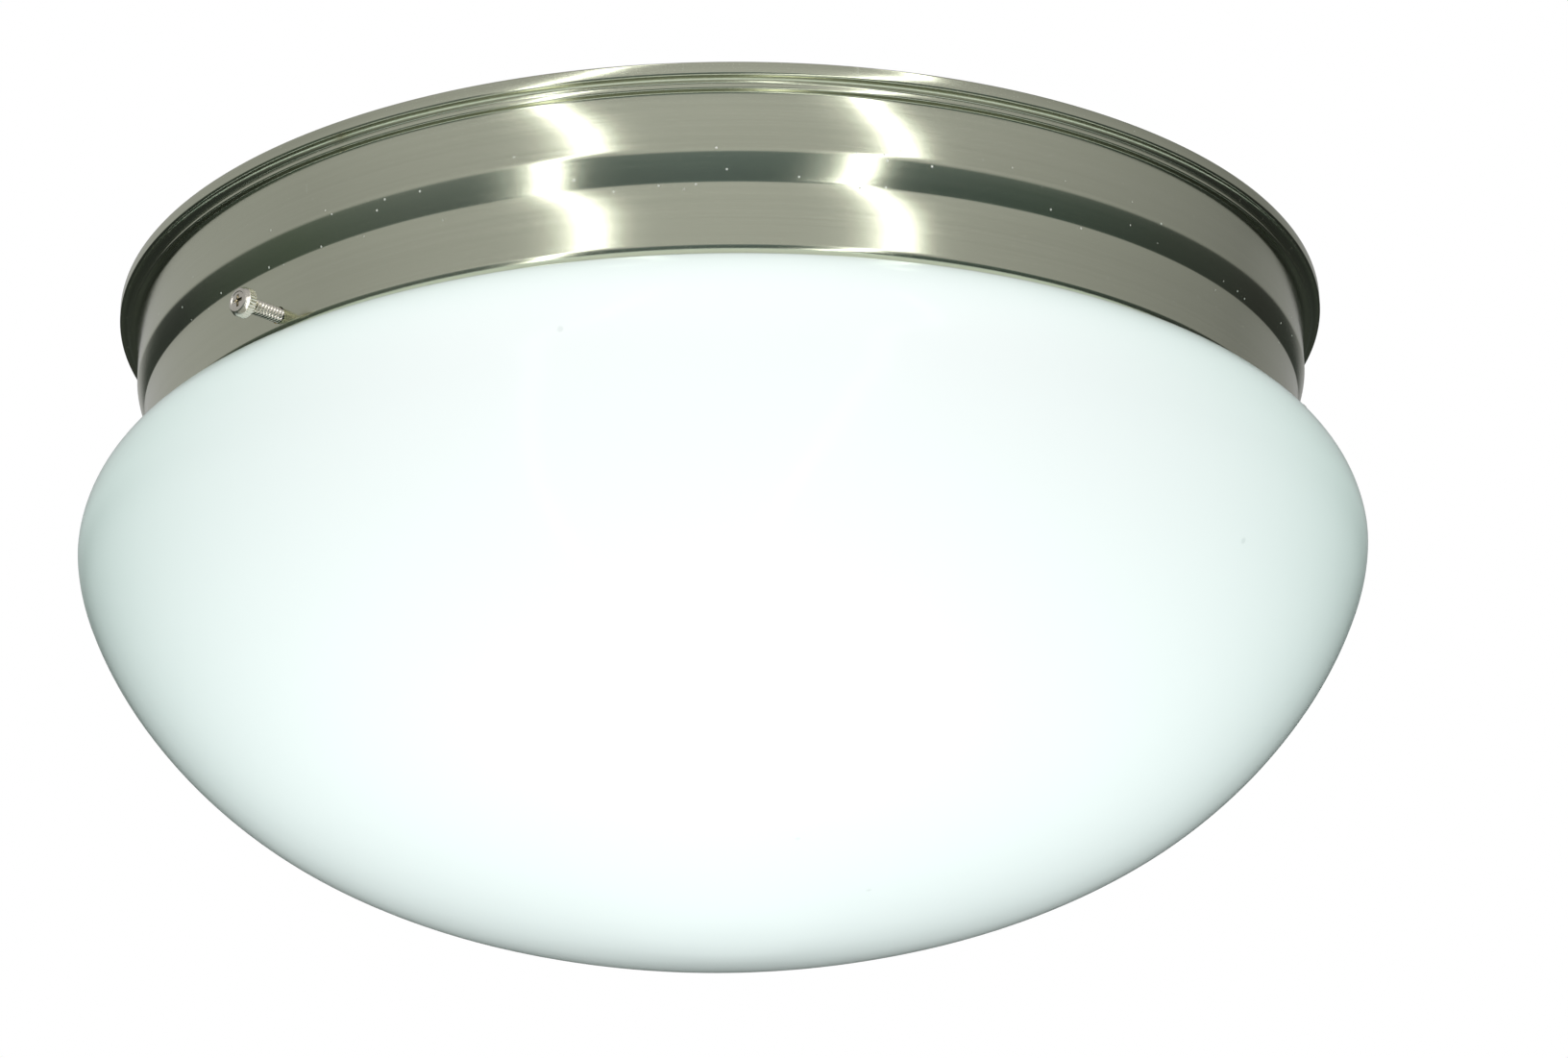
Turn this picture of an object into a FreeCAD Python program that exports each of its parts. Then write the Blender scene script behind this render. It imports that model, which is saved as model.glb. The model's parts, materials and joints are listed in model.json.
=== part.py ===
import FreeCAD, Part
import Sketcher
import math
import os
from FreeCAD import Placement, Rotation, Vector

# Flush mount ceiling light with two lamps.
# Frame: origin at the middle of the ceiling plane, +Z up, the light hangs below it.
# The thumbscrew faces the front left (towards -X and -Y).

os.makedirs("parts", exist_ok=True)
doc = FreeCAD.newDocument("ceiling_light")

# ---------------------------------------------------------------- driving sizes
sheet = doc.addObject("Spreadsheet::Sheet", "dims")
CELLS = [
    # spun pan, outside profile, radii and depths below the ceiling
    ("sheet_metal", 0.8), ("rim_radius", 145.2), ("rim_round", 0.5), ("rim_low", 2.6),
    ("cove_radius", 142.7), ("cove_top", 3.2), ("cove_low", 4.7), ("cove_round", 0.35),
    ("neck_top_radius", 140.85), ("neck_top", 5.5), ("upper_radius", 140.5), ("upper_mid", 12.0), ("upper_low", 17.6),
    ("shoulder_radius", 140.346), ("shoulder_depth", 18.95), ("crease_radius", 138.65), ("crease_depth", 24.6),
    ("lower_top_radius", 138.6), ("lower_top", 24.9), ("lower_radius", 138.2), ("lower_mid", 30.0),
    ("bead_top", 38.8), ("bead_radius", 2.1),
    # plate, pad, crossbar
    ("plate_radius", 139.6), ("plate_top", 7.0), ("plate_thick", 1.0), ("plate_flange", 8.0),
    ("pad_radius", 138.0), ("pad_opening", 62.0), ("pad_top", 0.4), ("pad_thick", 6.3),
    ("bar_length", 112.0), ("bar_width", 22.0), ("bar_thick", 1.6), ("box_spacing", 88.9),
    ("box_slot", 14.0), ("box_slot_width", 4.8), ("pan_screw_pitch", 63.5), ("pan_screw_dia", 4.16),
    ("entry_dia", 16.0),
    # lampholders
    ("socket_back", 99.0), ("socket_side", 34.0), ("socket_axis", 50.0), ("socket_len", 42.0),
    ("socket_base_dia", 38.0), ("socket_dia", 35.0), ("socket_bore", 29.2), ("shell_inner", 26.6),
    ("shell_wall", 0.5), ("bracket_thick", 1.5), ("bracket_width", 24.0),
    # lamps
    ("cap_dia", 26.0), ("bulb_dia", 60.0), ("bulb_seat", 13.0), ("bulb_len", 108.0),
    # glass and its three screws
    ("lip_radius", 126.0), ("neck_radius", 123.6), ("glass_wall", 3.0), ("lip_under", 33.8),
    ("lip_height", 3.2), ("belly_radius", 152.4), ("glass_depth", 152.0),
    ("screw_depth", 36.4), ("screw_dia", 3.5), ("screw_end", 126.4), ("head_back", 146.4),
    ("head_len", 3.1), ("head_dia", 6.6), ("short_head_back", 139.1), ("short_head_len", 2.2),
    ("tip_end", 124.0), ("tip_back", 128.0), ("tip_dia", 4.8), ("nut_inner", 134.3), ("nut_dia", 5.0),
    ("screw_angle", -44.1),
    ("lead_dia", 2.6),
]
for row, (alias, number) in enumerate(CELLS, 1):
    sheet.set("A%d" % row, alias)
    sheet.set("B%d" % row, repr(number))
    sheet.setAlias("B%d" % row, alias)
doc.recompute()
NUMBER = dict(CELLS)


class Size:
    """A length made of sheet cells: its value now, and the expression that binds it."""

    def __init__(self, value, text):
        self.value, self.text = float(value), text

    def join(self, other, sign, value):
        other = size(other)
        return Size(value(self.value, other.value), "(%s %s %s)" % (self.text, sign, other.text))

    def __add__(self, other):
        return self.join(other, "+", lambda a, b: a + b)

    def __sub__(self, other):
        return self.join(other, "-", lambda a, b: a - b)

    def __mul__(self, other):
        return self.join(other, "*", lambda a, b: a * b)

    def __truediv__(self, other):
        return self.join(other, "/", lambda a, b: a / b)

    def __neg__(self):
        return Size(-self.value, "(0 - %s)" % self.text)


def size(x):
    return x if isinstance(x, Size) else Size(x, "(%r)" % float(x))


def cell(alias):
    return Size(NUMBER[alias], "dims.%s" % alias)


# ---------------------------------------------------------------- drawing helpers
MADE = []


def new_body(label, placement=None):
    body = doc.addObject("PartDesign::Body", label)
    body.Label = label
    if placement is not None:
        body.Placement = placement
    MADE.append(body)
    return body


def plane(body, role):
    return [f for f in body.Origin.OriginFeatures if f.Role == role][0]


def new_sketch(body, name, role="XZ_Plane"):
    sk = body.newObject("Sketcher::SketchObject", name)
    sk.AttachmentSupport = [(plane(body, role), "")]
    sk.MapMode = "FlatFace"
    return sk


def bind(obj, prop, amount):
    amount = size(amount)
    setattr(obj, prop, amount.value)
    obj.setExpression(prop, amount.text)


def hold(sk, kind, refs, amount):
    number = sk.addConstraint(Sketcher.Constraint(kind, *refs, amount.value))
    if "dims." in amount.text:
        sk.setExpression("Constraints[%d]" % number, amount.text)


def arc_through(a, b, radius, side):
    """Arc from a to b; side +1 puts its centre on the left of the way from a to b."""
    mid = (a + b) * 0.5
    along = b - a
    half = along.Length / 2
    left = Vector(-along.y, along.x, 0).normalize()
    rise = math.sqrt(max(radius * radius - half * half, 0.0))
    centre = mid + left * (side * rise)
    t0 = math.atan2(a.y - centre.y, a.x - centre.x)
    t1 = math.atan2(b.y - centre.y, b.x - centre.x)
    circle = Part.Circle(centre, Vector(0, 0, 1), radius)
    if side > 0:  # runs counter-clockwise from a to b
        if t1 < t0:
            t1 += 2 * math.pi
        return Part.ArcOfCircle(circle, t0, t1), 1, 2
    if t0 < t1:
        t0 += 2 * math.pi
    return Part.ArcOfCircle(circle, t1, t0), 2, 1


def outline(sk, corners):
    """A closed profile. A corner is (x, y), or (x, y, radius, side) where an arc runs on to the next corner."""
    pts = [(size(c[0]), size(c[1])) for c in corners]
    first = sk.GeometryCount
    ends = []
    for i, c in enumerate(corners):
        a = Vector(pts[i][0].value, pts[i][1].value, 0)
        nxt = pts[(i + 1) % len(pts)]
        b = Vector(nxt[0].value, nxt[1].value, 0)
        if len(c) == 4:
            radius = size(c[2])
            arc, p, q = arc_through(a, b, radius.value, c[3])
            g = sk.addGeometry(arc, False)
            hold(sk, "Radius", (g,), radius)
        else:
            g = sk.addGeometry(Part.LineSegment(a, b), False)
            p, q = 1, 2
        ends.append((g, p, q))
    for i, (g, p, q) in enumerate(ends):
        h, r, _ = ends[(i + 1) % len(ends)]
        sk.addConstraint(Sketcher.Constraint("Coincident", g, q, h, r))
    for (x, y), (g, p, q) in zip(pts, ends):
        if abs(x.value) < 1e-9:
            sk.addConstraint(Sketcher.Constraint("PointOnObject", g, p, -2))
        else:
            hold(sk, "DistanceX", (-1, 1, g, p), x)
        if abs(y.value) < 1e-9:
            sk.addConstraint(Sketcher.Constraint("PointOnObject", g, p, -1))
        else:
            hold(sk, "DistanceY", (-1, 1, g, p), y)
    return first


def ring(sk, x, y, radius):
    x, y, radius = size(x), size(y), size(radius)
    g = sk.addGeometry(Part.Circle(Vector(x.value, y.value, 0), Vector(0, 0, 1), radius.value), False)
    hold(sk, "Radius", (g,), radius)
    for kind, v, axis in (("DistanceX", x, -2), ("DistanceY", y, -1)):
        if abs(v.value) < 1e-9:
            sk.addConstraint(Sketcher.Constraint("PointOnObject", g, 3, axis))
        else:
            hold(sk, kind, (-1, 1, g, 3), v)
    return g


def slot(sk, x, y, length, width):
    """A slot along X, with round ends, centred on x, y."""
    x, y, length, width = size(x), size(y), size(length), size(width)
    half, r = (length - width) / 2, width / 2
    right, left = (x + half).value, (x - half).value
    top, low = (y + r).value, (y - r).value
    a = sk.addGeometry(Part.LineSegment(Vector(left, low, 0), Vector(right, low, 0)), False)
    b = sk.addGeometry(Part.ArcOfCircle(Part.Circle(Vector(right, y.value, 0), Vector(0, 0, 1), r.value), -math.pi / 2, math.pi / 2), False)
    c = sk.addGeometry(Part.LineSegment(Vector(right, top, 0), Vector(left, top, 0)), False)
    d = sk.addGeometry(Part.ArcOfCircle(Part.Circle(Vector(left, y.value, 0), Vector(0, 0, 1), r.value), math.pi / 2, 3 * math.pi / 2), False)
    for g, h in ((a, b), (b, c), (c, d), (d, a)):
        sk.addConstraint(Sketcher.Constraint("Coincident", g, 2, h, 1))
    hold(sk, "DistanceX", (-1, 1, a, 1), x - half)
    hold(sk, "DistanceY", (-1, 1, a, 1), y - r)
    hold(sk, "DistanceX", (-1, 1, a, 2), x + half)
    hold(sk, "DistanceY", (-1, 1, a, 2), y - r)
    hold(sk, "DistanceX", (-1, 1, c, 1), x + half)
    hold(sk, "DistanceY", (-1, 1, c, 1), y + r)
    hold(sk, "DistanceX", (-1, 1, c, 2), x - half)
    hold(sk, "DistanceY", (-1, 1, c, 2), y + r)
    hold(sk, "DistanceX", (-1, 1, b, 3), x + half)
    hold(sk, "DistanceX", (-1, 1, d, 3), x - half)


def box_outline(sk, x0, y0, x1, y1):
    outline(sk, [(x0, y0), (x1, y0), (x1, y1), (x0, y1)])


def revolve(body, corners, name="turned"):
    sk = new_sketch(body, name + "_profile")
    outline(sk, corners)
    rev = body.newObject("PartDesign::Revolution", name)
    rev.Profile = sk
    rev.ReferenceAxis = (sk, ["V_Axis"])
    rev.Angle = 360
    sk.Visibility = False
    doc.recompute()
    return rev


def turned(label, corners, placement=None):
    body = new_body(label, placement)
    revolve(body, corners)
    return body


def pad(body, sk, length, name, both=False, back=False):
    feat = body.newObject("PartDesign::Pad", name)
    feat.Profile = sk
    bind(feat, "Length", length)
    if both:
        feat.SideType = "Symmetric"
    feat.Reversed = back
    doc.recompute()
    return feat


def pocket(body, sk, name, length=None, back=False):
    """A cut; right through both ways if no length is given. The volume must fall."""
    before = body.Shape.Volume
    feat = body.newObject("PartDesign::Pocket", name)
    feat.Profile = sk
    if length is None:
        feat.Type = "ThroughAll"
        feat.SideType = "Symmetric"
    else:
        feat.Type = "Length"
        bind(feat, "Length", length)
        feat.Reversed = back
    doc.recompute()
    if not body.Shape.Volume < before - 1e-6:
        raise RuntimeError("%s cuts nothing" % name)
    return feat


def polar(body, feature, sk, count, name):
    pat = body.newObject("PartDesign::PolarPattern", name)
    pat.Originals = [feature]
    pat.Axis = (sk, ["N_Axis"])
    pat.Angle = 360
    pat.Occurrences = count
    body.Tip = pat
    doc.recompute()
    return pat


def raised(sk, depth):
    """Moves a sketch along its own normal by an amount from the sheet."""
    amount = size(depth)
    sk.AttachmentOffset = Placement(Vector(0, 0, amount.value), Rotation())
    sk.setExpression("AttachmentOffset.Base.z", amount.text)


def turn_z(degrees):
    return Placement(Vector(0, 0, 0), Rotation(Vector(0, 0, 1), degrees))


def group(label, shapes):
    """Several equal pieces, or one piece, as boolean primitives gathered under one name."""
    obj = doc.addObject("Part::Compound", label)
    obj.Label = label
    obj.Links = shapes
    MADE.append(obj)
    return obj


def cylinder(name, radius, height, placement):
    obj = doc.addObject("Part::Cylinder", name)
    bind(obj, "Radius", radius)
    bind(obj, "Height", height)
    obj.Placement = placement
    return obj


def fuse(name, *shapes):
    obj = doc.addObject("Part::MultiFuse", name)
    obj.Shapes = list(shapes)
    obj.Refine = True
    return obj


def cut(name, base, tool):
    obj = doc.addObject("Part::Cut", name)
    obj.Base, obj.Tool = base, tool
    return obj


UP = Rotation()
DOWN = Rotation(Vector(1, 0, 0), 180)

# ---------------------------------------------------------------- the spun pan
t = cell("sheet_metal")
pan = turned("fitter_pan", [
    (cell("rim_radius") - t, 0),
    (cell("rim_radius") - cell("rim_round"), 0, cell("rim_round"), -1),
    (cell("rim_radius"), -cell("rim_round")),
    (cell("rim_radius"), -cell("rim_low"), cell("rim_round"), -1),
    (cell("rim_radius") - cell("rim_round"), -cell("rim_low") - cell("rim_round")),
    (cell("cove_radius") + 0.4, -cell("cove_top"), 0.4, 1),
    (cell("cove_radius"), -cell("cove_top") - 0.4),
    (cell("cove_radius"), -cell("cove_low"), cell("cove_round"), -1),
    (cell("cove_radius") - cell("cove_round"), -cell("cove_low") - cell("cove_round")),
    (cell("neck_top_radius") + 0.4, -cell("neck_top") + 0.4, 0.4, 1),
    (cell("neck_top_radius"), -cell("neck_top")),
    (cell("upper_radius") + 0.087, -cell("upper_mid") + 3.25),
    (cell("upper_radius"), -cell("upper_mid")),
    (cell("upper_radius"), -cell("upper_low"), 6.0, -1),
    (cell("shoulder_radius"), -cell("shoulder_depth")),
    (cell("crease_radius") + 0.939, -cell("crease_depth") + 2.8),
    (cell("crease_radius"), -cell("crease_depth")),
    (cell("lower_top_radius"), -cell("lower_top")),
    (cell("lower_radius") + 0.1, -cell("lower_mid") + 2.56),
    (cell("lower_radius"), -cell("lower_mid")),
    (cell("lower_radius"), -cell("bead_top"), cell("bead_radius"), -1),
    (cell("lower_radius") - cell("bead_radius"), -cell("bead_top") - cell("bead_radius")),
    (cell("lower_radius") - cell("bead_radius"), -cell("bead_top") - cell("bead_radius") + t, cell("bead_radius") - t, 1),
    (cell("lower_radius") - t, -cell("bead_top")),
    (cell("lower_radius") - t, -cell("lower_mid")),
    (cell("lower_top_radius") - t, -cell("lower_top") + 0.1),
    (cell("crease_radius") - 0.75, -cell("crease_depth") + 0.3),
    (cell("crease_radius") + 0.172, -cell("crease_depth") + 3.04),
    (cell("shoulder_radius") - 0.779, -cell("shoulder_depth") + 0.18, 5.2, 1),
    (cell("upper_radius") - t, -cell("upper_low")),
    (cell("upper_radius") - t, -cell("upper_mid")),
    (cell("neck_top_radius") - t, -cell("neck_top") - 0.4),
    (cell("neck_top_radius") - t, -cell("neck_top") + 0.7),
    (cell("neck_top_radius") - t + 0.5, -cell("neck_top") + 1.25),
    (cell("cove_radius") - 1.1, -cell("cove_low") + 0.45),
    (cell("cove_radius") - t, -cell("cove_low") + 0.75),
    (cell("cove_radius") - t, -cell("rim_low") - 0.2),
    (cell("cove_radius") - 0.3, -cell("rim_low") + 0.3),
    (cell("rim_radius") - t - 0.4, -cell("rim_low") + 0.3),
    (cell("rim_radius") - t, -cell("rim_low") + 0.7),
])
# three holes in the wall, one for each holding screw
SCREW_ANGLES = [("1", 0), ("2", 120), ("3", 240)]


def wall_hole(number, turn):
    """A circle on an upright plane through the axis, turned so that its normal points along the screw, cut outwards."""
    sk = new_sketch(pan, "wall_hole_%s_circle" % number, "YZ_Plane")
    ring(sk, 0, -cell("screw_depth"), 1.95)
    sk.AttachmentOffset = Placement(Vector(0, 0, 0), Rotation(Vector(0, 1, 0), turn + NUMBER["screw_angle"] - 90))
    doc.recompute()
    before = pan.Shape.Volume
    feat = pan.newObject("PartDesign::Pocket", "wall_hole_" + number)
    feat.Profile = sk
    feat.Type = "ThroughAll"
    feat.Reversed = True
    doc.recompute()
    print("wall hole", number, "takes", round(before - pan.Shape.Volume, 2), "of about", round(math.pi * 1.95 ** 2 * NUMBER["sheet_metal"], 2))
    if not 8 < before - pan.Shape.Volume < 12:
        raise RuntimeError("wall hole " + number)


for number, turn in SCREW_ANGLES:
    wall_hole(number, turn)

# ---------------------------------------------------------------- back plate
plate_low = cell("plate_top") + cell("plate_thick")
plate = turned("back_plate", [
    (0, -cell("plate_top")),
    (cell("plate_radius") - 1.4, -cell("plate_top"), 1.4, -1),
    (cell("plate_radius"), -cell("plate_top") - 1.4),
    (cell("plate_radius"), -cell("plate_top") - cell("plate_flange")),
    (cell("plate_radius") - cell("plate_thick"), -cell("plate_top") - cell("plate_flange")),
    (cell("plate_radius") - cell("plate_thick"), -plate_low - 0.4, 0.4, 1),
    (cell("plate_radius") - cell("plate_thick") - 0.4, -plate_low),
    (0, -plate_low),
])
sk = new_sketch(plate, "plate_holes", "XY_Plane")
ring(sk, 0, 0, 11.5)                                   # wire entry
for sx in (1, -1):
    for dy in (7, -7):                                 # socket bracket rivets
        ring(sk, sx * 86.0, sx * NUMBER["socket_side"] + dy, 2.02)
ring(sk, 0, 30, 2.1)                                   # ground screw
ring(sk, 52, 13.8, 1.6)                                  # terminal block screw
for sx in (1, -1):                                     # big ends of the keyholes
    ring(sk, sx * NUMBER["pan_screw_pitch"] / 2 - 7.5, 0, 4.7)
pocket(plate, sk, "plate_hole_cut")
sk = new_sketch(plate, "keyhole_slots", "XY_Plane")
for sx in (1, -1):
    slot(sk, cell("pan_screw_pitch") / 2 * sx - 3.0, 0, 10.8, cell("pan_screw_dia") + 0.64)
pocket(plate, sk, "keyhole_cut")
# ring of small round vents near the edge
sk = new_sketch(plate, "vent", "XY_Plane")
ring(sk, 0, 128, 2.5)
vent = pocket(plate, sk, "vent_cut")
polar(plate, vent, sk, 12, "vents")

# ---------------------------------------------------------------- insulation pad
pad_body = turned("insulation_pad", [
    (cell("pad_opening"), -cell("pad_top")),
    (cell("pad_radius"), -cell("pad_top")),
    (cell("pad_radius"), -cell("pad_top") - cell("pad_thick")),
    (cell("pad_opening"), -cell("pad_top") - cell("pad_thick")),
])

# ---------------------------------------------------------------- crossbar for the outlet box
bar = new_body("mounting_crossbar")
sk = new_sketch(bar, "bar_outline", "XY_Plane")
half_l, half_w = cell("bar_length") / 2, cell("bar_width") / 2
outline(sk, [
    (-half_l + 5, -half_w), (half_l - 5, -half_w, 5, 1), (half_l, -half_w + 5),
    (half_l, half_w - 5, 5, 1), (half_l - 5, half_w), (-half_l + 5, half_w, 5, 1),
    (-half_l, half_w - 5), (-half_l, -half_w + 5, 5, 1)])
pad(bar, sk, cell("bar_thick"), "bar_sheet", back=True)
sk = new_sketch(bar, "box_slots", "XY_Plane")
for sx in (1, -1):
    slot(sk, cell("box_spacing") / 2 * sx, 0, cell("box_slot"), cell("box_slot_width"))
    ring(sk, cell("pan_screw_pitch") / 2 * sx, 0, cell("pan_screw_dia") / 2 + 0.02)
ring(sk, 0, 0, 5.2)
pocket(bar, sk, "box_slot_cut")

# ---------------------------------------------------------------- pan screws, plate to crossbar
screws = []
for n, sx in (("right", 1), ("left", -1)):
    x = sx * NUMBER["pan_screw_pitch"] / 2
    shank = cylinder("pan_screw_shank_" + n, cell("pan_screw_dia") / 2, plate_low, Placement(Vector(x, 0, -NUMBER["plate_top"] - NUMBER["plate_thick"]), UP))
    head = cylinder("pan_screw_head_" + n, 4.0, 2.5, Placement(Vector(x, 0, -10.5), UP))
    cross_a = doc.addObject("Part::Box", "pan_screw_slot_" + n)
    bind(cross_a, "Length", 9.0)
    bind(cross_a, "Width", 1.1)
    bind(cross_a, "Height", 1.3)
    cross_a.Placement = Placement(Vector(x - 4.5, -0.55, -10.7), UP)
    screws.append(cut("pan_screw_" + n, fuse("pan_screw_blank_" + n, shank, head), cross_a))
group("pan_screws", screws)

# ---------------------------------------------------------------- wire entry bushing, snapped in the plate
turned("wire_bushing", [
    (cell("entry_dia") / 2, -5.8), (11.9, -5.8), (12.4, -6.3), (12.4, -6.9), (11.4, -6.9), (11.4, -8.05),
    (14.0, -8.05), (14.0, -9.2, 0.6, -1), (13.4, -9.8), (cell("entry_dia") / 2 + 0.8, -9.8, 0.8, -1), (cell("entry_dia") / 2, -9.0)])

# ---------------------------------------------------------------- ground screw, hexagon head over the ring of the earth lead
hexagon = doc.addObject("Part::Prism", "ground_screw_head")
hexagon.Polygon = 6
bind(hexagon, "Circumradius", 4.3)
bind(hexagon, "Height", 2.4)
hexagon.Placement = Placement(Vector(0, 30, -11.2), UP)
washer = cylinder("ground_screw_washer", 4.7, 0.6, Placement(Vector(0, 30, -9.4), UP))
shank = cylinder("ground_screw_shank", 2.05, 5.2, Placement(Vector(0, 30, -9.4), UP))
group("ground_screw", [fuse("ground_screw_solid", hexagon, washer, shank)])

# ---------------------------------------------------------------- lampholders, two alike, half a turn apart
# local frame: +Z runs from the back of the lampholder out of its mouth, local X points down
HOLDER = Placement(Vector(-NUMBER["socket_back"], -NUMBER["socket_side"], -NUMBER["socket_axis"]), Rotation(Vector(0, 1, 0), 90))
SIDES = [("1", HOLDER, turn_z(0)), ("2", turn_z(180).multiply(HOLDER), turn_z(180))]

rivets, holder_screws = [], []
for n, at, turn in SIDES:
    # bracket: a foot on the plate, a leg behind the lampholder
    bracket = new_body("socket_bracket_" + n, turn.multiply(Placement(Vector(-NUMBER["socket_back"], -NUMBER["socket_side"], 0), UP)))
    sk = new_sketch(bracket, "bracket_profile_" + n)
    bt = cell("bracket_thick")
    outline(sk, [
        (-bt, -plate_low - 2.5), (-bt, -cell("socket_axis") - 16), (0, -cell("socket_axis") - 16), (0, -plate_low - 2.5, 1.0, -1),
        (1.0, -plate_low - bt), (21, -plate_low - bt), (21, -plate_low), (1.0, -plate_low, 2.5, 1)])
    pad(bracket, sk, cell("bracket_width"), "bracket_sheet_" + n, both=True)
    sk = new_sketch(bracket, "rivet_holes_" + n, "XY_Plane")
    ring(sk, 13, 7, 2.02)
    ring(sk, 13, -7, 2.02)
    pocket(bracket, sk, "rivet_hole_cut_" + n, 12)
    sk = new_sketch(bracket, "holder_holes_" + n, "YZ_Plane")
    for y in (9, -9):
        ring(sk, y, -cell("socket_axis"), 1.8)
    ring(sk, 0, -cell("socket_axis"), 4.0)
    pocket(bracket, sk, "holder_hole_cut_" + n)

    for i, dy in enumerate((7, -7)):
        y = -NUMBER["socket_side"] + dy
        shank = cylinder("rivet_shank_%s%d" % (n, i), 2.0, cell("plate_thick") + cell("bracket_thick"), turn.multiply(Placement(Vector(-86, y, -9.5), UP)))
        low = cylinder("rivet_low_%s%d" % (n, i), 3.0, 1.2, turn.multiply(Placement(Vector(-86, y, -10.7), UP)))
        top = cylinder("rivet_top_%s%d" % (n, i), 2.8, 0.25, turn.multiply(Placement(Vector(-86, y, -7.0), UP)))
        rivets.append(fuse("rivet_%s%d" % (n, i), shank, low, top))

    # lampholder body: a turned form, a wider base, a bore for the shell
    holder = turned("socket_body_" + n, [
        (0, 0), (cell("socket_base_dia") / 2 - 0.8, 0, 0.8, 1), (cell("socket_base_dia") / 2, 0.8), (cell("socket_base_dia") / 2, 15, 1.0, 1),
        (cell("socket_base_dia") / 2 - 1.0, 16), (cell("socket_dia") / 2, 16.6), (cell("socket_dia") / 2, cell("socket_len") - 1.2, 1.2, 1),
        (cell("socket_dia") / 2 - 1.2, cell("socket_len")), (cell("socket_bore") / 2 + 0.6, cell("socket_len")),
        (cell("socket_bore") / 2, cell("socket_len") - 0.6), (cell("socket_bore") / 2, 10.5), (0, 10.5)], at)
    sk = new_sketch(holder, "screw_pilots_" + n, "XY_Plane")
    for y in (9, -9):
        ring(sk, 0, y, 1.52)
    pocket(holder, sk, "screw_pilot_cut_" + n, 7.0, back=True)
    # two entries for the leads, in the upper side of the base
    sk = new_sketch(holder, "lead_entries_" + n, "YZ_Plane")
    for y in (6, -6):
        ring(sk, y, 6.5, 1.6)
    pocket(holder, sk, "lead_entry_cut_" + n, 25, back=False)

    # screw shell with a turned-in floor
    turned("screw_shell_" + n, [
        (5.6, 13.1), (cell("shell_inner") / 2 + cell("shell_wall") - 0.8, 13.1, 0.8, 1), (cell("shell_inner") / 2 + cell("shell_wall"), 13.9),
        (cell("shell_inner") / 2 + cell("shell_wall"), 36), (cell("shell_inner") / 2, 36), (cell("shell_inner") / 2, 13.9, 0.3, -1),
        (cell("shell_inner") / 2 - 0.3, 13.6), (5.6, 13.6)], at)

    # centre contact: a bent brass strip on the floor of the bore
    contact = new_body("centre_contact_" + n, at)
    sk = new_sketch(contact, "contact_profile_" + n)
    outline(sk, [(-9, 10.5), (9, 10.5), (9, 10.9), (5, 10.9), (3.4, 12.4, 1.0, 1), (2.6, 12.8), (-2.6, 12.8, 1.0, 1), (-3.4, 12.4), (-5, 10.9), (-9, 10.9)])
    pad(contact, sk, 6, "contact_strip_" + n, both=True)

    for i, y in enumerate((9, -9)):
        shank = cylinder("holder_screw_shank_%s%d" % (n, i), 1.5, 8.0, at.multiply(Placement(Vector(0, y, -1.5), UP)))
        head = cylinder("holder_screw_head_%s%d" % (n, i), 2.9, 1.8, at.multiply(Placement(Vector(0, y, -3.3), UP)))
        drive = doc.addObject("Part::Box", "holder_screw_drive_%s%d" % (n, i))
        bind(drive, "Length", 6.4)
        bind(drive, "Width", 0.8)
        bind(drive, "Height", 0.9)
        drive.Placement = at.multiply(Placement(Vector(-3.2, y - 0.4, -3.4), UP))
        holder_screws.append(cut("holder_screw_%s%d" % (n, i), fuse("holder_screw_blank_%s%d" % (n, i), shank, head), drive))

    # lamp: cap, black insulator, contact, envelope, stem and filament
    seat = cell("bulb_seat")
    turned("bulb_contact_" + n, [
        (0, seat + 0.2), (2.4, seat + 0.2, 2.0, 1), (4.4, seat + 1.2), (4.4, seat + 2.0), (0, seat + 2.0)], at)
    turned("bulb_insulator_" + n, [
        (0, seat + 2.02), (4.6, seat + 2.02), (4.6, seat + 1.4), (5.4, seat + 1.4), (11.2, seat + 4.6), (11.2, seat + 6.0), (0, seat + 6.0)], at)
    turned("bulb_cap_" + n, [
        (11.3, seat + 3.9), (12.4, seat + 4.6), (cell("cap_dia") / 2, seat + 5.6), (cell("cap_dia") / 2, seat + 25),
        (cell("cap_dia") / 2 - 0.3, seat + 25), (cell("cap_dia") / 2 - 0.3, seat + 6.05), (11.3, seat + 6.05)], at)

# envelope of the lamp: its profile is one run of tangent arcs, so it is turned from arcs in code
CURVE = [(12.5, 24.0), (12.6, 30.0), (14.6, 40.0), (19.5, 51.5), (25.6, 62.5), (29.3, 71.5)]


def lamp_profile(inset):
    """Points of the envelope's outside from the cap to the end of the ball, moved in by inset."""
    ball = NUMBER["bulb_dia"] / 2
    centre = NUMBER["bulb_len"] - ball
    neck = Part.BSplineCurve()
    neck.interpolate([Vector(r - inset, 0, z) for r, z in CURVE] + [Vector(ball - inset, 0, centre)],
                     InitialTangent=Vector(0, 0, 1), FinalTangent=Vector(0, 0, 1))
    r = ball - inset
    arc = Part.Arc(Vector(r, 0, centre), Vector(r * math.sin(math.radians(45)), 0, centre + r * math.cos(math.radians(45))), Vector(0, 0, centre + r))
    return neck, arc, centre + r


def coded(label, shape, placement):
    obj = doc.addObject("Part::Feature", label)
    obj.Label = label
    obj.Shape = shape
    obj.Placement = placement
    MADE.append(obj)
    return obj


def line(a, b):
    return Part.LineSegment(a, b).toShape()


def spun(edges):
    """A profile that may touch the axis, turned a full turn into a solid that faces outwards."""
    face = Part.Face(Part.Wire(Part.__sortEdges__(edges)))
    solid = face.revolve(Vector(0, 0, 0), Vector(0, 0, 1), 360)
    solid = Part.Solid(solid.Shells[0])
    if solid.Volume < 0:
        solid.reverse()
    return solid


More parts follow.
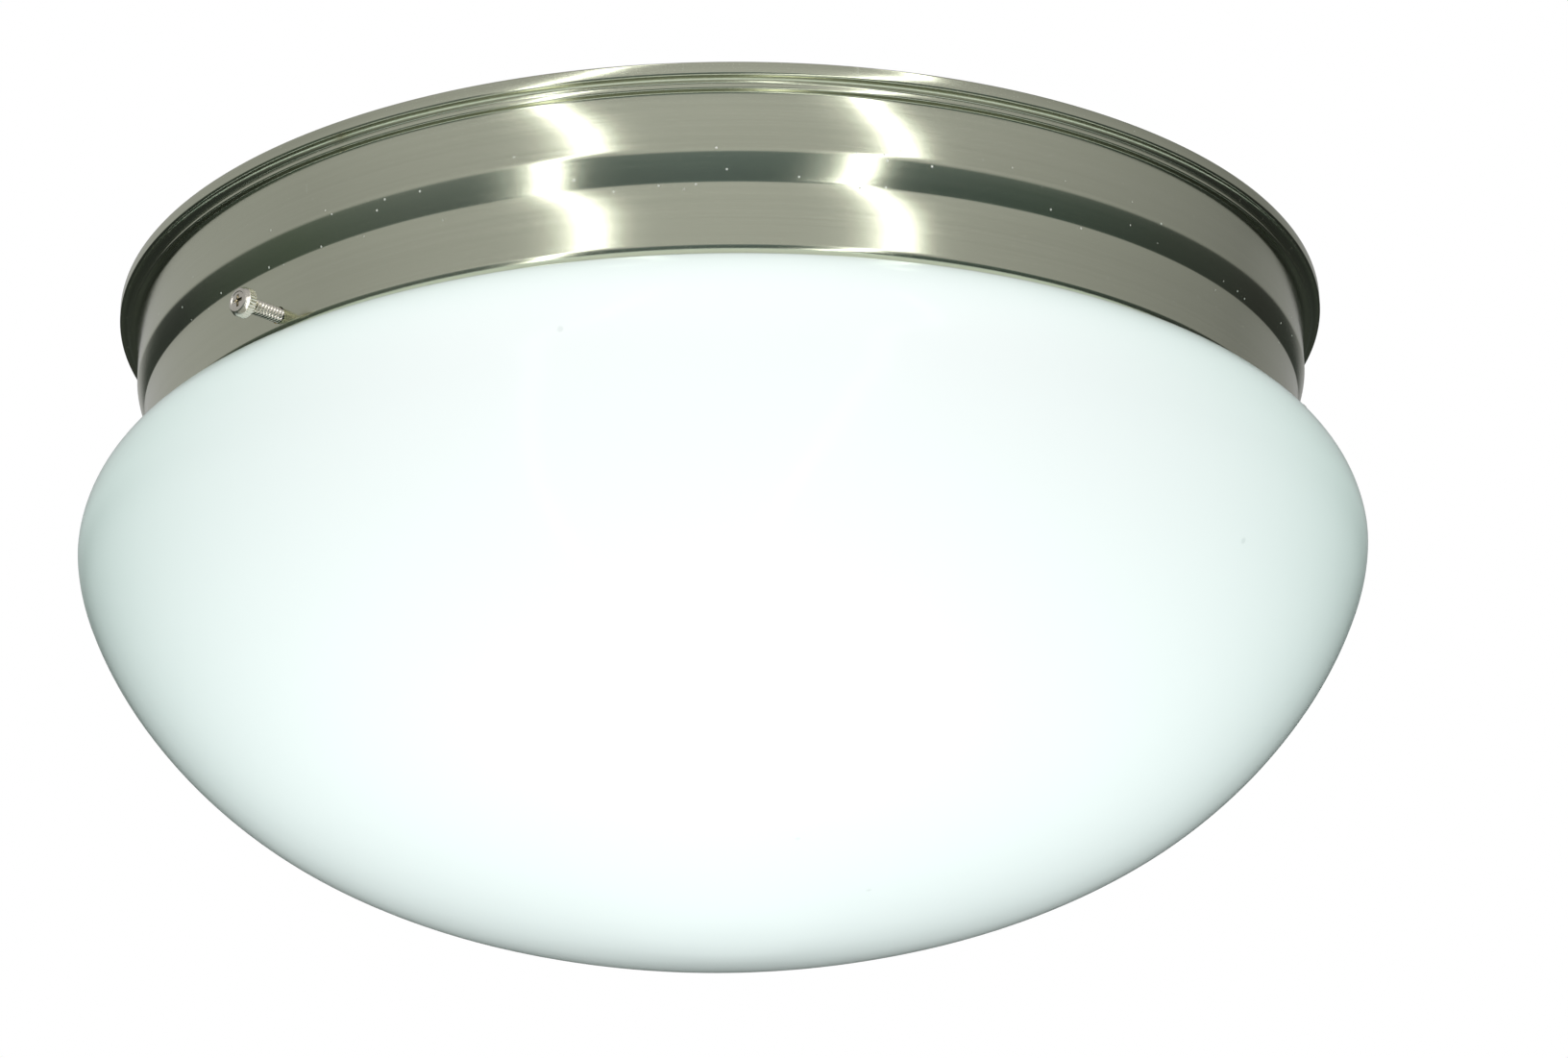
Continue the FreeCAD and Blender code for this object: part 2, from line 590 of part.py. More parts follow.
seat_up = Placement(Vector(0, 0, NUMBER["bulb_seat"]), UP)
for n, at, turn in SIDES:
    neck_o, arc_o, top_o = lamp_profile(0)
    neck_i, arc_i, top_i = lamp_profile(0.8)
    base = CURVE[0][1]
    edges = [neck_o.toShape(), arc_o.toShape(), line(Vector(0, 0, top_o), Vector(0, 0, top_i)), arc_i.toShape(), neck_i.toShape(),
             line(Vector(CURVE[0][0] - 0.8, 0, base), Vector(CURVE[0][0], 0, base))]
    envelope = spun(edges)
    skirt = Part.makeCylinder(12.5, 6.0, Vector(0, 0, base - 6)).cut(Part.makeCylinder(11.7, 6.0, Vector(0, 0, base - 6)))
    envelope = envelope.fuse(skirt).removeSplitter()
    coded("bulb_glass_" + n, envelope, at.multiply(seat_up))
    # stem: a glass tube, flared at the foot, with a pinch at the top
    body = turned("bulb_stem_" + n, [
        (0, 18.5), (11.5, 18.5), (11.5, 19.4), (6.0, 23.5, 8.0, -1), (4.0, 30), (4.0, 52), (2.6, 55), (2.6, 60), (0, 60)], at.multiply(seat_up))
    # filament with its two support wires
    path = Part.Wire([line(Vector(1.6, 0, 60.1), Vector(1.6, 0, 62)), line(Vector(1.6, 0, 62), Vector(14, 0, 76)),
                      line(Vector(14, 0, 76), Vector(-14, 0, 76)), line(Vector(-14, 0, 76), Vector(-1.6, 0, 62)), line(Vector(-1.6, 0, 62), Vector(-1.6, 0, 60.1))])
    sec = Part.Wire([Part.Circle(Vector(1.6, 0, 60.1), Vector(0, 0, 1), 0.35).toShape()])
    pipe = path.makePipeShell([sec], True, False, 2)
    coded("bulb_filament_" + n, pipe, at.multiply(seat_up))

group("bracket_rivets", rivets)
group("socket_screws", holder_screws)

# ---------------------------------------------------------------- terminal block, three poles
block = new_body("terminal_block")
BX0, BX1, BY = 40.0, 64.0, 10.5
sk = new_sketch(block, "block_outline", "XY_Plane")
outline(sk, [(BX0, -BY), (BX1, -BY), (BX1, BY), (57, BY), (57, 17.2), (47, 17.2), (47, BY), (BX0, BY)])
raised(sk, -plate_low)
pad(block, sk, 3.0, "block_base", back=True)
sk = new_sketch(block, "block_upper_outline", "XY_Plane")
box_outline(sk, BX0, -BY, BX1, BY)
raised(sk, -plate_low - 3.0)
pad(block, sk, 10.0, "block_upper", back=True)
sk = new_sketch(block, "pole_bores", "YZ_Plane")
POLES = [(-6.5, "neutral"), (0.0, "live"), (6.5, "earth")]
for y, _ in POLES:
    ring(sk, y, -13.5, 2.9)
pocket(block, sk, "pole_bore_cut")
sk = new_sketch(block, "screw_wells", "XY_Plane")
for y, _ in POLES:
    for x in (47.0, 57.0):
        ring(sk, x, y, 2.4)
raised(sk, -14.5)
pocket(block, sk, "screw_well_cut", 12)
sk = new_sketch(block, "fixing_hole", "XY_Plane")
ring(sk, 52, 13.8, 1.6)
pocket(block, sk, "fixing_hole_cut")

tubes, pole_screws = [], []
for i, (y, _) in enumerate(POLES):
    along = Rotation(Vector(0, 1, 0), 90)
    outer = cylinder("tube_outer_%d" % i, 2.85, 16, Placement(Vector(44, y, -13.5), along))
    inner = cylinder("tube_inner_%d" % i, 2.2, 18, Placement(Vector(43, y, -13.5), along))
    bare = cut("tube_bare_%d" % i, outer, inner)
    taps = fuse("tube_taps_%d" % i, cylinder("tap_a_%d" % i, 1.45, 6, Placement(Vector(47, y, -20), UP)), cylinder("tap_b_%d" % i, 1.45, 6, Placement(Vector(57, y, -20), UP)))
    tubes.append(cut("tube_%d" % i, bare, taps))
    for j, x in enumerate((47.0, 57.0)):
        shank = cylinder("pole_screw_shank_%d%d" % (i, j), 1.4, 4.6, Placement(Vector(x, y, -18.9), UP))
        head = cylinder("pole_screw_head_%d%d" % (i, j), 2.2, 1.6, Placement(Vector(x, y, -20.3), UP))
        drive = doc.addObject("Part::Box", "pole_screw_drive_%d%d" % (i, j))
        bind(drive, "Length", 5.0)
        bind(drive, "Width", 0.7)
        bind(drive, "Height", 0.8)
        drive.Placement = Placement(Vector(x - 2.5, y - 0.35, -20.4), UP)
        pole_screws.append(cut("pole_screw_%d%d" % (i, j), fuse("pole_screw_blank_%d%d" % (i, j), shank, head), drive))
group("terminal_tubes", tubes)
group("terminal_screws", pole_screws)
shank = cylinder("fixing_shank", 1.5, 6.0, Placement(Vector(52, 13.8, -11.0), UP))
head = cylinder("fixing_head", 2.8, 1.7, Placement(Vector(52, 13.8, -12.7), UP))
drive = doc.addObject("Part::Box", "fixing_drive")
bind(drive, "Length", 6.2)
bind(drive, "Width", 0.8)
bind(drive, "Height", 0.9)
drive.Placement = Placement(Vector(52 - 3.1, 13.8 - 0.4, -12.8), UP)
group("terminal_fixing_screw", [cut("fixing_cut", fuse("fixing_blank", shank, head), drive)])


# ---------------------------------------------------------------- internal leads: straight runs joined by tangent arcs
def lead(label, points, lug=None):
    """A round lead along points, each corner rounded with 0.45 of its shorter run, over tan of half its turn."""
    pts = [Vector(*p) for p in points]
    r = NUMBER["lead_dia"] / 2
    edges, radii, cursor = [], [], pts[0]
    for i in range(1, len(pts) - 1):
        a, b, c = pts[i - 1], pts[i], pts[i + 1]
        u, v = (b - a).normalize(), (c - b).normalize()
        turn = u.getAngle(v)
        reach = 0.45 * min((b - a).Length, (c - b).Length)
        radius = reach / math.tan(turn / 2)
        if radius > 60:
            radius = 60.0
            reach = radius * math.tan(turn / 2)
        p, q = b - u * reach, b + v * reach
        centre_way = (v - u).normalize()
        centre = b + centre_way * math.hypot(radius, reach)
        mid = centre - centre_way * radius
        edges += [line(cursor, p), Part.Arc(p, mid, q).toShape()]
        radii.append(round(radius, 1))
        cursor = q
    edges.append(line(cursor, pts[-1]))
    wire = Part.Wire(edges)
    start = (pts[1] - pts[0]).normalize()
    section = Part.Wire([Part.Circle(pts[0], start, r).toShape()])
    tube = wire.makePipeShell([section], True, False, 2)
    want = math.pi * r * r * wire.Length
    print("%s length %.1f mm, radii %s, volume / section x length %.4f" % (label, wire.Length, radii, tube.Volume / want))
    if abs(tube.Volume / want - 1) > 0.01:
        raise RuntimeError(label + " has the wrong volume")
    if lug is not None:
        tube = tube.fuse(lug).removeSplitter()
    return coded(label, tube, Placement())


E = 33.2  # how high the lead starts inside the lampholder's entry, below the ceiling
XS = 92.5
lead("live_lead_1", [(-XS, -28, -E), (-XS, -28, -15.5), (-72, -21.5, -13.6), (-30, -19.5, -13.5), (14, -19.5, -13.5), (29, -8.5, -13.5), (37, 0, -14.5), (43.4, 0, -14.6)])
lead("neutral_lead_1", [(-XS, -40, -E), (-XS, -40, -15.5), (-70, -27, -13.6), (-30, -23.6, -13.5), (18, -23.6, -13.5), (31, -10.5, -13.5), (37, -6.5, -14.5), (43.4, -6.5, -14.6)])
lead("live_lead_2", [(XS, 28, -E), (XS, 28, -16.5), (84, 14, -13.6), (74, 0, -13.5), (60.6, 0, -13.5)])
lead("neutral_lead_2", [(XS, 40, -E), (XS, 40, -22.5), (82, 29, -18.6), (78, 12, -18.6), (73, -3.5, -17.6), (60.6, -6.5, -13.5)])
lug = Part.makeCylinder(4.4, 0.8, Vector(0, 30, -8.8)).cut(Part.makeCylinder(2.12, 0.8, Vector(0, 30, -8.8)))
lug = lug.fuse(Part.makeBox(6.5, 2.6, 0.8, Vector(3.9, 28.7, -8.8))).fuse(Part.makeCylinder(1.3, 3.0, Vector(8.4, 30, -9.4), Vector(1, 0, 0)))
lead("earth_lead", [(9.0, 30, -9.4), (17, 30, -9.8), (25, 22, -12.5), (33, 9.5, -13.5), (43.4, 6.5, -13.5)], lug)

# clips: small nylon saddles on the plate over the two long leads
clips = []
for i, x in enumerate((-50.0, -8.0)):
    y = -22.1 if i == 0 else -21.55
    block_ = doc.addObject("Part::Box", "clip_block_%d" % i)
    bind(block_, "Length", 7.0)
    bind(block_, "Width", 14.0)
    bind(block_, "Height", 8.0)
    block_.Placement = Placement(Vector(x - 3.5, y - 7.0, -16.0), UP)
    chan = doc.addObject("Part::Box", "clip_channel_%d" % i)
    bind(chan, "Length", 9.0)
    bind(chan, "Width", 10.4)
    bind(chan, "Height", 4.6)
    chan.Placement = Placement(Vector(x - 4.5, y - 5.2, -15.2), UP)
    clips.append(cut("clip_%d" % i, block_, chan))
group("lead_clips", clips)


# ---------------------------------------------------------------- holding screws: nuts in the wall, screws, soft caps
def along_screw(turn):
    """Local +Z runs outwards along the screw, from the light's axis."""
    a = math.radians(turn + NUMBER["screw_angle"] - 90)
    out = Vector(math.cos(a), math.sin(a), 0)
    up = Vector(0, 0, 1)
    side = up.cross(out)
    return Placement(Vector(0, 0, -NUMBER["screw_depth"]), Rotation(up, side, out, "ZXY"))


nuts = []
for number, turn in SCREW_ANGLES:
    at = along_screw(turn)
    outer = cylinder("nut_outer_" + number, cell("nut_dia") / 2, cell("lower_radius") - cell("sheet_metal") - 0.12 - cell("nut_inner"), at.multiply(Placement(Vector(0, 0, NUMBER["nut_inner"]), UP)))
    inner = cylinder("nut_bore_" + number, cell("screw_dia") / 2 + 0.05, 8, at.multiply(Placement(Vector(0, 0, NUMBER["nut_inner"] - 2), UP)))
    nuts.append(cut("nut_" + number, outer, inner))
    # soft cap over the end of the screw; it bears under the lip of the glass
    rs = cell("screw_dia") / 2
    turned("tip_cap_" + number, [
        (0, cell("tip_end")), (cell("tip_dia") / 2 - 0.9, cell("tip_end"), 0.9, 1), (cell("tip_dia") / 2, cell("tip_end") + 0.9),
        (cell("tip_dia") / 2, cell("tip_back")), (rs + 0.03, cell("tip_back")), (rs + 0.03, cell("screw_end") - 0.1), (0, cell("screw_end") - 0.1)], at)
group("press_nuts", nuts)

rs = cell("screw_dia") / 2
long_screw = turned("thumb_screw", [
    (0, cell("screw_end")), (rs - 0.4, cell("screw_end")), (rs, cell("screw_end") + 0.4), (rs, cell("head_back") - 0.4), (rs - 0.35, cell("head_back") - 0.3),
    (rs - 0.35, cell("head_back")), (cell("head_dia") / 2 - 0.4, cell("head_back")), (cell("head_dia") / 2, cell("head_back") + 0.4),
    (cell("head_dia") / 2, cell("head_back") + cell("head_len") - 0.9), (cell("head_dia") / 2 - 0.9, cell("head_back") + cell("head_len")), (0, cell("head_back") + cell("head_len"))],
    along_screw(0))
sk = new_sketch(long_screw, "cross_recess", "XY_Plane")
w, v = 0.45, 1.5
outline(sk, [(w, w), (v, w), (v, -w), (w, -w), (w, -v), (-w, -v), (-w, -w), (-v, -w), (-v, w), (-w, w), (-w, v), (w, v)])
raised(sk, cell("head_back") + cell("head_len"))
pocket(long_screw, sk, "cross_cut", 1.4)
sk = new_sketch(long_screw, "knurl_groove", "XY_Plane")
rh = NUMBER["head_dia"] / 2
outline(sk, [(rh - 0.18, 0), (rh + 0.3, -0.32), (rh + 0.3, 0.32)])
raised(sk, cell("head_back") - 0.5)
knurl = pocket(long_screw, sk, "knurl_cut", cell("head_len") + 1.0, back=True)
polar(long_screw, knurl, sk, 24, "knurl")

for number, turn in SCREW_ANGLES[1:]:
    short = turned("short_screw_" + number, [
        (0, cell("screw_end")), (rs - 0.4, cell("screw_end")), (rs, cell("screw_end") + 0.4), (rs, cell("short_head_back")),
        (cell("head_dia") / 2 - 0.2, cell("short_head_back")), (cell("head_dia") / 2 - 0.2, cell("short_head_back") + 1.0, 1.4, 1),
        (cell("head_dia") / 2 - 1.2, cell("short_head_back") + cell("short_head_len")), (0, cell("short_head_back") + cell("short_head_len"))],
        along_screw(turn))
    sk = new_sketch(short, "recess_" + number, "XY_Plane")
    outline(sk, [(w, w), (v, w), (v, -w), (w, -w), (w, -v), (-w, -v), (-w, -w), (-v, -w), (-v, w), (-w, w), (-w, v), (w, v)])
    raised(sk, cell("short_head_back") + cell("short_head_len"))
    pocket(short, sk, "recess_cut_" + number, 1.2)

# ---------------------------------------------------------------- blown glass shade
# The outside is one smooth blown curve, so it is a spline turned about the axis; the inside is a wall's thickness within it.
BLOWN = [
    (125.9, -40.85), (130.5, -41.15), (135.0, -41.4), (138.4, -41.65), (140.4, -42.05), (142.4, -43.05), (144.5, -44.75), (146.5, -46.75), (148.5, -49.35),
    (150.3, -52.6), (151.6, -56.3), (152.25, -59.8), (152.4, -62.4), (152.1, -65.7), (151.3, -69.7), (150.05, -73.7), (148.4, -77.7),
    (146.55, -81.7), (144.4, -85.7), (142.0, -89.7), (139.3, -93.7), (136.3, -97.7), (133.0, -101.7), (129.4, -105.7), (125.4, -109.7),
    (121.0, -113.7), (116.1, -117.7), (110.6, -121.7), (104.3, -125.7), (97.0, -129.7), (88.8, -133.6), (79.4, -137.4), (67.9, -141.2),
    (54.6, -144.8), (39.5, -148.0), (22.0, -150.8),
]
# the curve runs 0.07 mm inside its poles at the belly
scale_out = (NUMBER["belly_radius"] + 0.07) / 152.4
apex = -NUMBER["glass_depth"]
wall = NUMBER["glass_wall"]
neck, lip = NUMBER["neck_radius"], NUMBER["lip_radius"]
under, high = -NUMBER["lip_under"], -NUMBER["lip_under"] + NUMBER["lip_height"]
bore = neck - wall
outer_pts = [Vector(r * scale_out if z < -50 else r, 0, z) for r, z in BLOWN] + [Vector(0, 0, apex)]


def normals(points):
    """Unit normals into the glass, from each point's neighbours."""
    out = []
    for i, p in enumerate(points[1:-1], 1):
        way = (points[i + 1] - points[i - 1]).normalize()
        out.append(Vector(way.z, 0, -way.x))
    return out


def blown(poles):
    """A cubic curve that starts and ends on its first and last pole and runs smoothly past the others."""
    curve = Part.BSplineCurve()
    curve.buildFromPoles(poles, False, 3)
    return curve


# the pole at a radius of 10 mm makes both curves level at the axis
outside = blown(outer_pts[:-1] + [Vector(10, 0, apex), outer_pts[-1]])
# inside curve: the outside's points moved in by the wall, after a rounded corner under the neck
inner_pts = [p + n * wall for p, n in zip(outer_pts[1:-1], normals(outer_pts))]
inner_pts = [Vector(bore, 0, -41.0), Vector(bore, 0, -43.0), Vector(bore + 2.8, 0, -43.9)] + inner_pts + [Vector(10, 0, apex + wall), Vector(0, 0, apex + wall)]
inside = blown(inner_pts)
foot = outer_pts[0]
r_f = foot.x - neck
neck_low = foot.z + r_f
full_edges = [
    outside.toShape(),
    line(Vector(0, 0, apex), Vector(0, 0, high)),
    line(Vector(0, 0, high), Vector(lip - 1.3, 0, high)),
    Part.Arc(Vector(lip - 1.3, 0, high), Vector(lip - 0.38, 0, high - 0.38), Vector(lip, 0, high - 1.3)).toShape(),
    line(Vector(lip, 0, high - 1.3), Vector(lip, 0, under + 1.0)),
    Part.Arc(Vector(lip, 0, under + 1.0), Vector(lip - 0.293, 0, under + 0.293), Vector(lip - 1.0, 0, under)).toShape(),
    line(Vector(lip - 1.0, 0, under), Vector(neck, 0, under)),
    line(Vector(neck, 0, under), Vector(neck, 0, neck_low)),
    Part.Arc(Vector(neck, 0, neck_low), Vector(foot.x - r_f * math.cos(math.radians(45)), 0, neck_low - r_f * math.sin(math.radians(45))), foot).toShape(),
]
hollow_edges = [
    inside.toShape(),
    line(Vector(0, 0, apex + wall), Vector(0, 0, high + 1.0)),
    line(Vector(0, 0, high + 1.0), Vector(bore + 2.0, 0, high + 1.0)),
    line(Vector(bore + 2.0, 0, high + 1.0), Vector(bore + 1.0, 0, high)),
    Part.Arc(Vector(bore + 1.0, 0, high), Vector(bore + 0.293, 0, high - 0.293), Vector(bore, 0, high - 1.0)).toShape(),
    line(Vector(bore, 0, high - 1.0), Vector(bore, 0, -41.0)),
]
full, hollow = spun(full_edges), spun(hollow_edges)
glass = full.cut(hollow)
if glass.Solids:
    glass = glass.Solids[0]
print("glass", full.Volume, hollow.Volume, glass.Volume, glass.isValid(), glass.ShapeType)
if not (glass.isValid() and 250000 < glass.Volume < 400000):
    raise RuntimeError("glass shade")
print("inside curve", [(round(p.x, 1), round(p.z, 1)) for p in inner_pts[:12]], "...", [(round(p.x, 1), round(p.z, 1)) for p in inner_pts[-6:]])
print("glass box radius", round(max(outside.value(outside.FirstParameter + (outside.LastParameter - outside.FirstParameter) * i / 400).x for i in range(401)), 3))
coded("glass_shade", glass, Placement())

# ---------------------------------------------------------------- check and write
doc.recompute()
bad = [o.Name for o in doc.Objects if "Invalid" in o.State or "Error" in o.State]
if bad:
    raise RuntimeError("failed objects: %s" % bad)
labels = [o.Label for o in MADE]
if len(set(labels)) != len(labels) or len(labels) > 60:
    raise RuntimeError("labels: %d of %d differ" % (len(set(labels)), len(labels)))
for o in MADE:
    if o.Shape.isNull() or not o.Shape.isValid() or not o.Shape.Solids:
        raise RuntimeError("bad shape: " + o.Label)
for o in MADE:
    o.Shape.exportStep("parts/%s.step" % o.Label)
    b = o.Shape.BoundBox
    print("%-24s solids %d volume %10.1f  x %.1f..%.1f y %.1f..%.1f z %.1f..%.1f" % (
        o.Label, len(o.Shape.Solids), o.Shape.Volume, b.XMin, b.XMax, b.YMin, b.YMax, b.ZMin, b.ZMax))
print(len(MADE), "pieces")
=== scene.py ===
import bpy, bmesh, json, math, random
from mathutils import Matrix, Vector


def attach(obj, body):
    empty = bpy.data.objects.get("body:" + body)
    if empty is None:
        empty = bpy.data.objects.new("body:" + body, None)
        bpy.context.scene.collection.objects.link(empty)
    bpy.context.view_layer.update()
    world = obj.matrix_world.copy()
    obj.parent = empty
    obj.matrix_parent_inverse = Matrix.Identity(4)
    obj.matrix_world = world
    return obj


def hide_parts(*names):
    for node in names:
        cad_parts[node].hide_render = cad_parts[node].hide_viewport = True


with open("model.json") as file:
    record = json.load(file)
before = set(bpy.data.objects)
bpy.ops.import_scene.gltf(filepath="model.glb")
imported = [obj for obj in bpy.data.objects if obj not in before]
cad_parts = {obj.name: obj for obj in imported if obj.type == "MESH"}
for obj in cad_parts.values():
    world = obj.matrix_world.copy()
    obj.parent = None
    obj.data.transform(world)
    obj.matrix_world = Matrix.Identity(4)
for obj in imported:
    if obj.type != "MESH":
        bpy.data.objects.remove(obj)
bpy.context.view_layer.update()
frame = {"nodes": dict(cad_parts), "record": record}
nodes = frame["nodes"]
scene = bpy.context.scene
MM = 0.001

# ---------------------------------------------------------------- camera
cam_data = bpy.data.cameras.new("camera")
cam_data.sensor_width = 36.0
cam_data.lens = 4049.0 / 1632.0 * 36.0
cam_data.clip_start, cam_data.clip_end = 0.01, 50.0
cam = bpy.data.objects.new("camera", cam_data)
scene.collection.objects.link(cam)
turn = Matrix(((0.9998, 0.013806, -0.014437), (-0.008525, -0.358707, -0.933411), (-0.018065, 0.933348, -0.358518)))
cam.matrix_world = Matrix.Translation((0.00084, -0.87217, -0.38463)) @ turn.to_4x4()
scene.camera = cam
scene.view_settings.view_transform = "Standard"
scene.view_settings.look = "None"
scene.view_settings.exposure = 0.0
scene.view_settings.gamma = 1.0


# ---------------------------------------------------------------- small node helpers
class Graph:
    """Short names for building a node tree."""

    def __init__(self, tree):
        self.tree = tree

    def new(self, kind, **values):
        n = self.tree.nodes.new(kind)
        for key, value in values.items():
            setattr(n, key, value)
        return n

    def link(self, a, b):
        self.tree.links.new(a, b)

    def put(self, socket, value):
        if isinstance(value, bpy.types.NodeSocket):
            self.link(value, socket)
        else:
            socket.default_value = value

    def math(self, op, a, b=0.0, c=None, clamp=False):
        n = self.new("ShaderNodeMath", operation=op, use_clamp=clamp)
        self.put(n.inputs[0], a)
        self.put(n.inputs[1], b)
        if c is not None:
            self.put(n.inputs[2], c)
        return n.outputs[0]

    def xyz(self, vector):
        n = self.new("ShaderNodeSeparateXYZ")
        self.put(n.inputs[0], vector)
        return n.outputs

    def join(self, x, y, z):
        n = self.new("ShaderNodeCombineXYZ")
        for s, v in zip(n.inputs, (x, y, z)):
            self.put(s, v)
        return n.outputs[0]

    def ramp(self, value, stops, mode="LINEAR"):
        n = self.new("ShaderNodeValToRGB")
        n.color_ramp.interpolation = mode
        els = n.color_ramp.elements
        while len(els) < len(stops):
            els.new(0.5)
        for e, (p, c) in zip(els, stops):
            e.position = p
            e.color = c if len(c) == 4 else (*c, 1.0)
        self.put(n.inputs[0], value)
        return n.outputs[0]

    def map(self, value, a, b, c, d, smooth=False):
        n = self.new("ShaderNodeMapRange", clamp=True)
        if smooth:
            n.interpolation_type = "SMOOTHSTEP"
        for s, v in zip(n.inputs, (value, a, b, c, d)):
            self.put(s, v)
        return n.outputs[0]

    def mix(self, factor, a, b, kind="MIX"):
        n = self.new("ShaderNodeMix", data_type="RGBA", blend_type=kind)
        self.put(n.inputs[0], factor)
        for s, v in ((n.inputs[6], a), (n.inputs[7], b)):
            if not isinstance(v, bpy.types.NodeSocket) and len(v) == 3:
                v = (*v, 1.0)
            self.put(s, v)
        return n.outputs[2]

    def noise(self, vector, scale, detail=3.0, rough=0.5, dims="3D", distortion=0.0):
        n = self.new("ShaderNodeTexNoise", noise_dimensions=dims)
        self.put(n.inputs["Vector"], vector)
        self.put(n.inputs["Scale"], scale)
        self.put(n.inputs["Detail"], detail)
        self.put(n.inputs["Roughness"], rough)
        self.put(n.inputs["Distortion"], distortion)
        return n.outputs[0]

    def cells(self, vector, scale, feature="F1", randomness=1.0):
        n = self.new("ShaderNodeTexVoronoi", feature=feature)
        self.put(n.inputs["Vector"], vector)
        self.put(n.inputs["Scale"], scale)
        self.put(n.inputs["Randomness"], randomness)
        return n.outputs["Distance"], n.outputs["Color"] if feature != "DISTANCE_TO_EDGE" else None

    def stretch(self, vector, x, y, z):
        n = self.new("ShaderNodeVectorMath", operation="MULTIPLY")
        self.put(n.inputs[0], vector)
        n.inputs[1].default_value = (x, y, z)
        return n.outputs[0]

    def bump(self, height, strength, distance, normal=None):
        n = self.new("ShaderNodeBump")
        n.inputs["Strength"].default_value = strength
        n.inputs["Distance"].default_value = distance
        self.put(n.inputs["Height"], height)
        if normal is not None:
            self.link(normal, n.inputs["Normal"])
        return n.outputs[0]


def material(name):
    m = bpy.data.materials.new(name)
    m.use_nodes = True
    g = Graph(m.node_tree)
    shader = m.node_tree.nodes["Principled BSDF"]
    place = g.new("ShaderNodeTexCoord").outputs["Object"]
    return m, g, shader, place


def round_the_axis(g, place, along, across):
    """Coordinates that vary slowly round the Z axis and fast across the spun profile."""
    x, y, z = g.xyz(place)
    r = g.math("SQRT", g.math("ADD", g.math("MULTIPLY", x, x), g.math("MULTIPLY", y, y)))
    s = g.math("ADD", z, g.math("MULTIPLY", r, 1.31))
    return g.join(g.math("MULTIPLY", x, along), g.math("MULTIPLY", y, along), g.math("MULTIPLY", s, across))


# ---------------------------------------------------------------- world and lights
world = bpy.data.worlds.new("studio")
scene.world = world
world.use_nodes = True
world.cycles.sampling_method = "NONE"
wt = world.node_tree
wt.nodes.clear()
w = Graph(wt)
way = w.new("ShaderNodeTexCoord").outputs["Generated"]
dx, dy, dz = w.xyz(way)
azimuth = w.math("ARCTAN2", dx, w.math("MULTIPLY", dy, -1.0))          # 0 towards the viewer's side, + to the right
azimuth_deg = w.math("MULTIPLY", azimuth, 57.29578)
elevation = w.math("MULTIPLY", w.math("ARCSINE", dz), 57.29578)
side = w.math("ABSOLUTE", azimuth_deg)
turn_part = w.math("DIVIDE", w.math("ADD", azimuth_deg, 180.0), 360.0)


def round_stops(stops):
    return [((a + 180.0) / 360.0, c if isinstance(c, tuple) else (c, c, c)) for a, c in stops]


# what shows in the metal: a pale room above, a dark one below
upper = w.ramp(turn_part, round_stops([
    (-180, 0.40), (-150, 0.42), (-122, 0.42), (-84, 0.40), (-57, 0.46), (-28, 0.50), (0, 0.52), (28, 0.50), (58, 0.42), (90, 0.33), (121, 0.24), (150, 0.30), (180, 0.40)]))
lower = w.ramp(turn_part, round_stops([
    (-180, (0.07, 0.08, 0.07)), (-150, (0.040, 0.046, 0.040)), (-122, (0.036, 0.041, 0.039)), (-84, (0.093, 0.116, 0.096)), (-57, (0.144, 0.169, 0.164)),
    (0, (0.150, 0.190, 0.195)), (58, (0.083, 0.110, 0.102)), (90, (0.050, 0.060, 0.055)), (121, (0.033, 0.035, 0.033)), (150, (0.038, 0.044, 0.040)), (180, (0.07, 0.08, 0.07))]))
line = w.map(side, 60.0, 130.0, 7.0, 17.0)
above = w.map(w.math("SUBTRACT", elevation, line), -3.0, 3.0, 0.0, 1.0, smooth=True)
near_line = w.map(elevation, 14.0, 30.0, 1.12, 1.0)
deep = w.map(elevation, -16.0, 4.0, 0.78, 1.10)
lower = w.mix(1.0, lower, w.join(deep, deep, deep), "MULTIPLY")
room = w.mix(above, lower, w.mix(1.0, upper, w.join(near_line, near_line, near_line), "MULTIPLY"))
# two tall narrow lamps, both leaning the same way, that show as the bright streaks in the metal
LEFT = [(-90, 50), (-60, 43), (-9, 30.8), (10, 31.2), (16, 29.6), (22, 26.6), (28, 23.0), (60, 16), (90, 13)]
RIGHT = [(-90, 4), (-60, 12), (-30, 21), (-9, 25.5), (10, 26.0), (17, 28.3), (23, 32.3), (28, 37.3), (60, 46), (90, 48)]
glow = None
for sign, path in ((-1.0, LEFT), (1.0, RIGHT)):
    middle = w.math("MULTIPLY", w.ramp(w.map(elevation, -90.0, 90.0, 0.0, 1.0), [((e + 90.0) / 180.0, (a / 60.0, a / 60.0, a / 60.0)) for e, a in path]), 60.0 * sign)
    away = w.math("SUBTRACT", azimuth_deg, middle)
    off = w.math("ABSOLUTE", away)
    core = w.map(off, 1.0, 3.2, 1.0, 0.0, smooth=True)
    halo = w.math("MINIMUM", w.map(away, -13.0, -2.0, 0.0, 0.085, smooth=True), w.map(away, 2.0, 8.0, 0.085, 0.0, smooth=True))
    one = w.math("MAXIMUM", core, halo)
    glow = one if glow is None else w.math("MAXIMUM", glow, one)
tall = w.math("MULTIPLY", w.map(elevation, -66.0, -58.0, 0.0, 1.0), w.map(elevation, 58.0, 66.0, 1.0, 0.0))
glow = w.math("MULTIPLY", glow, tall)
underfoot = w.map(elevation, -64.0, -36.0, 1.0, 0.0, smooth=True)
room = w.mix(underfoot, room, (0.34, 0.355, 0.315))
shown = w.mix(glow, room, (5.0, 5.0, 4.9))
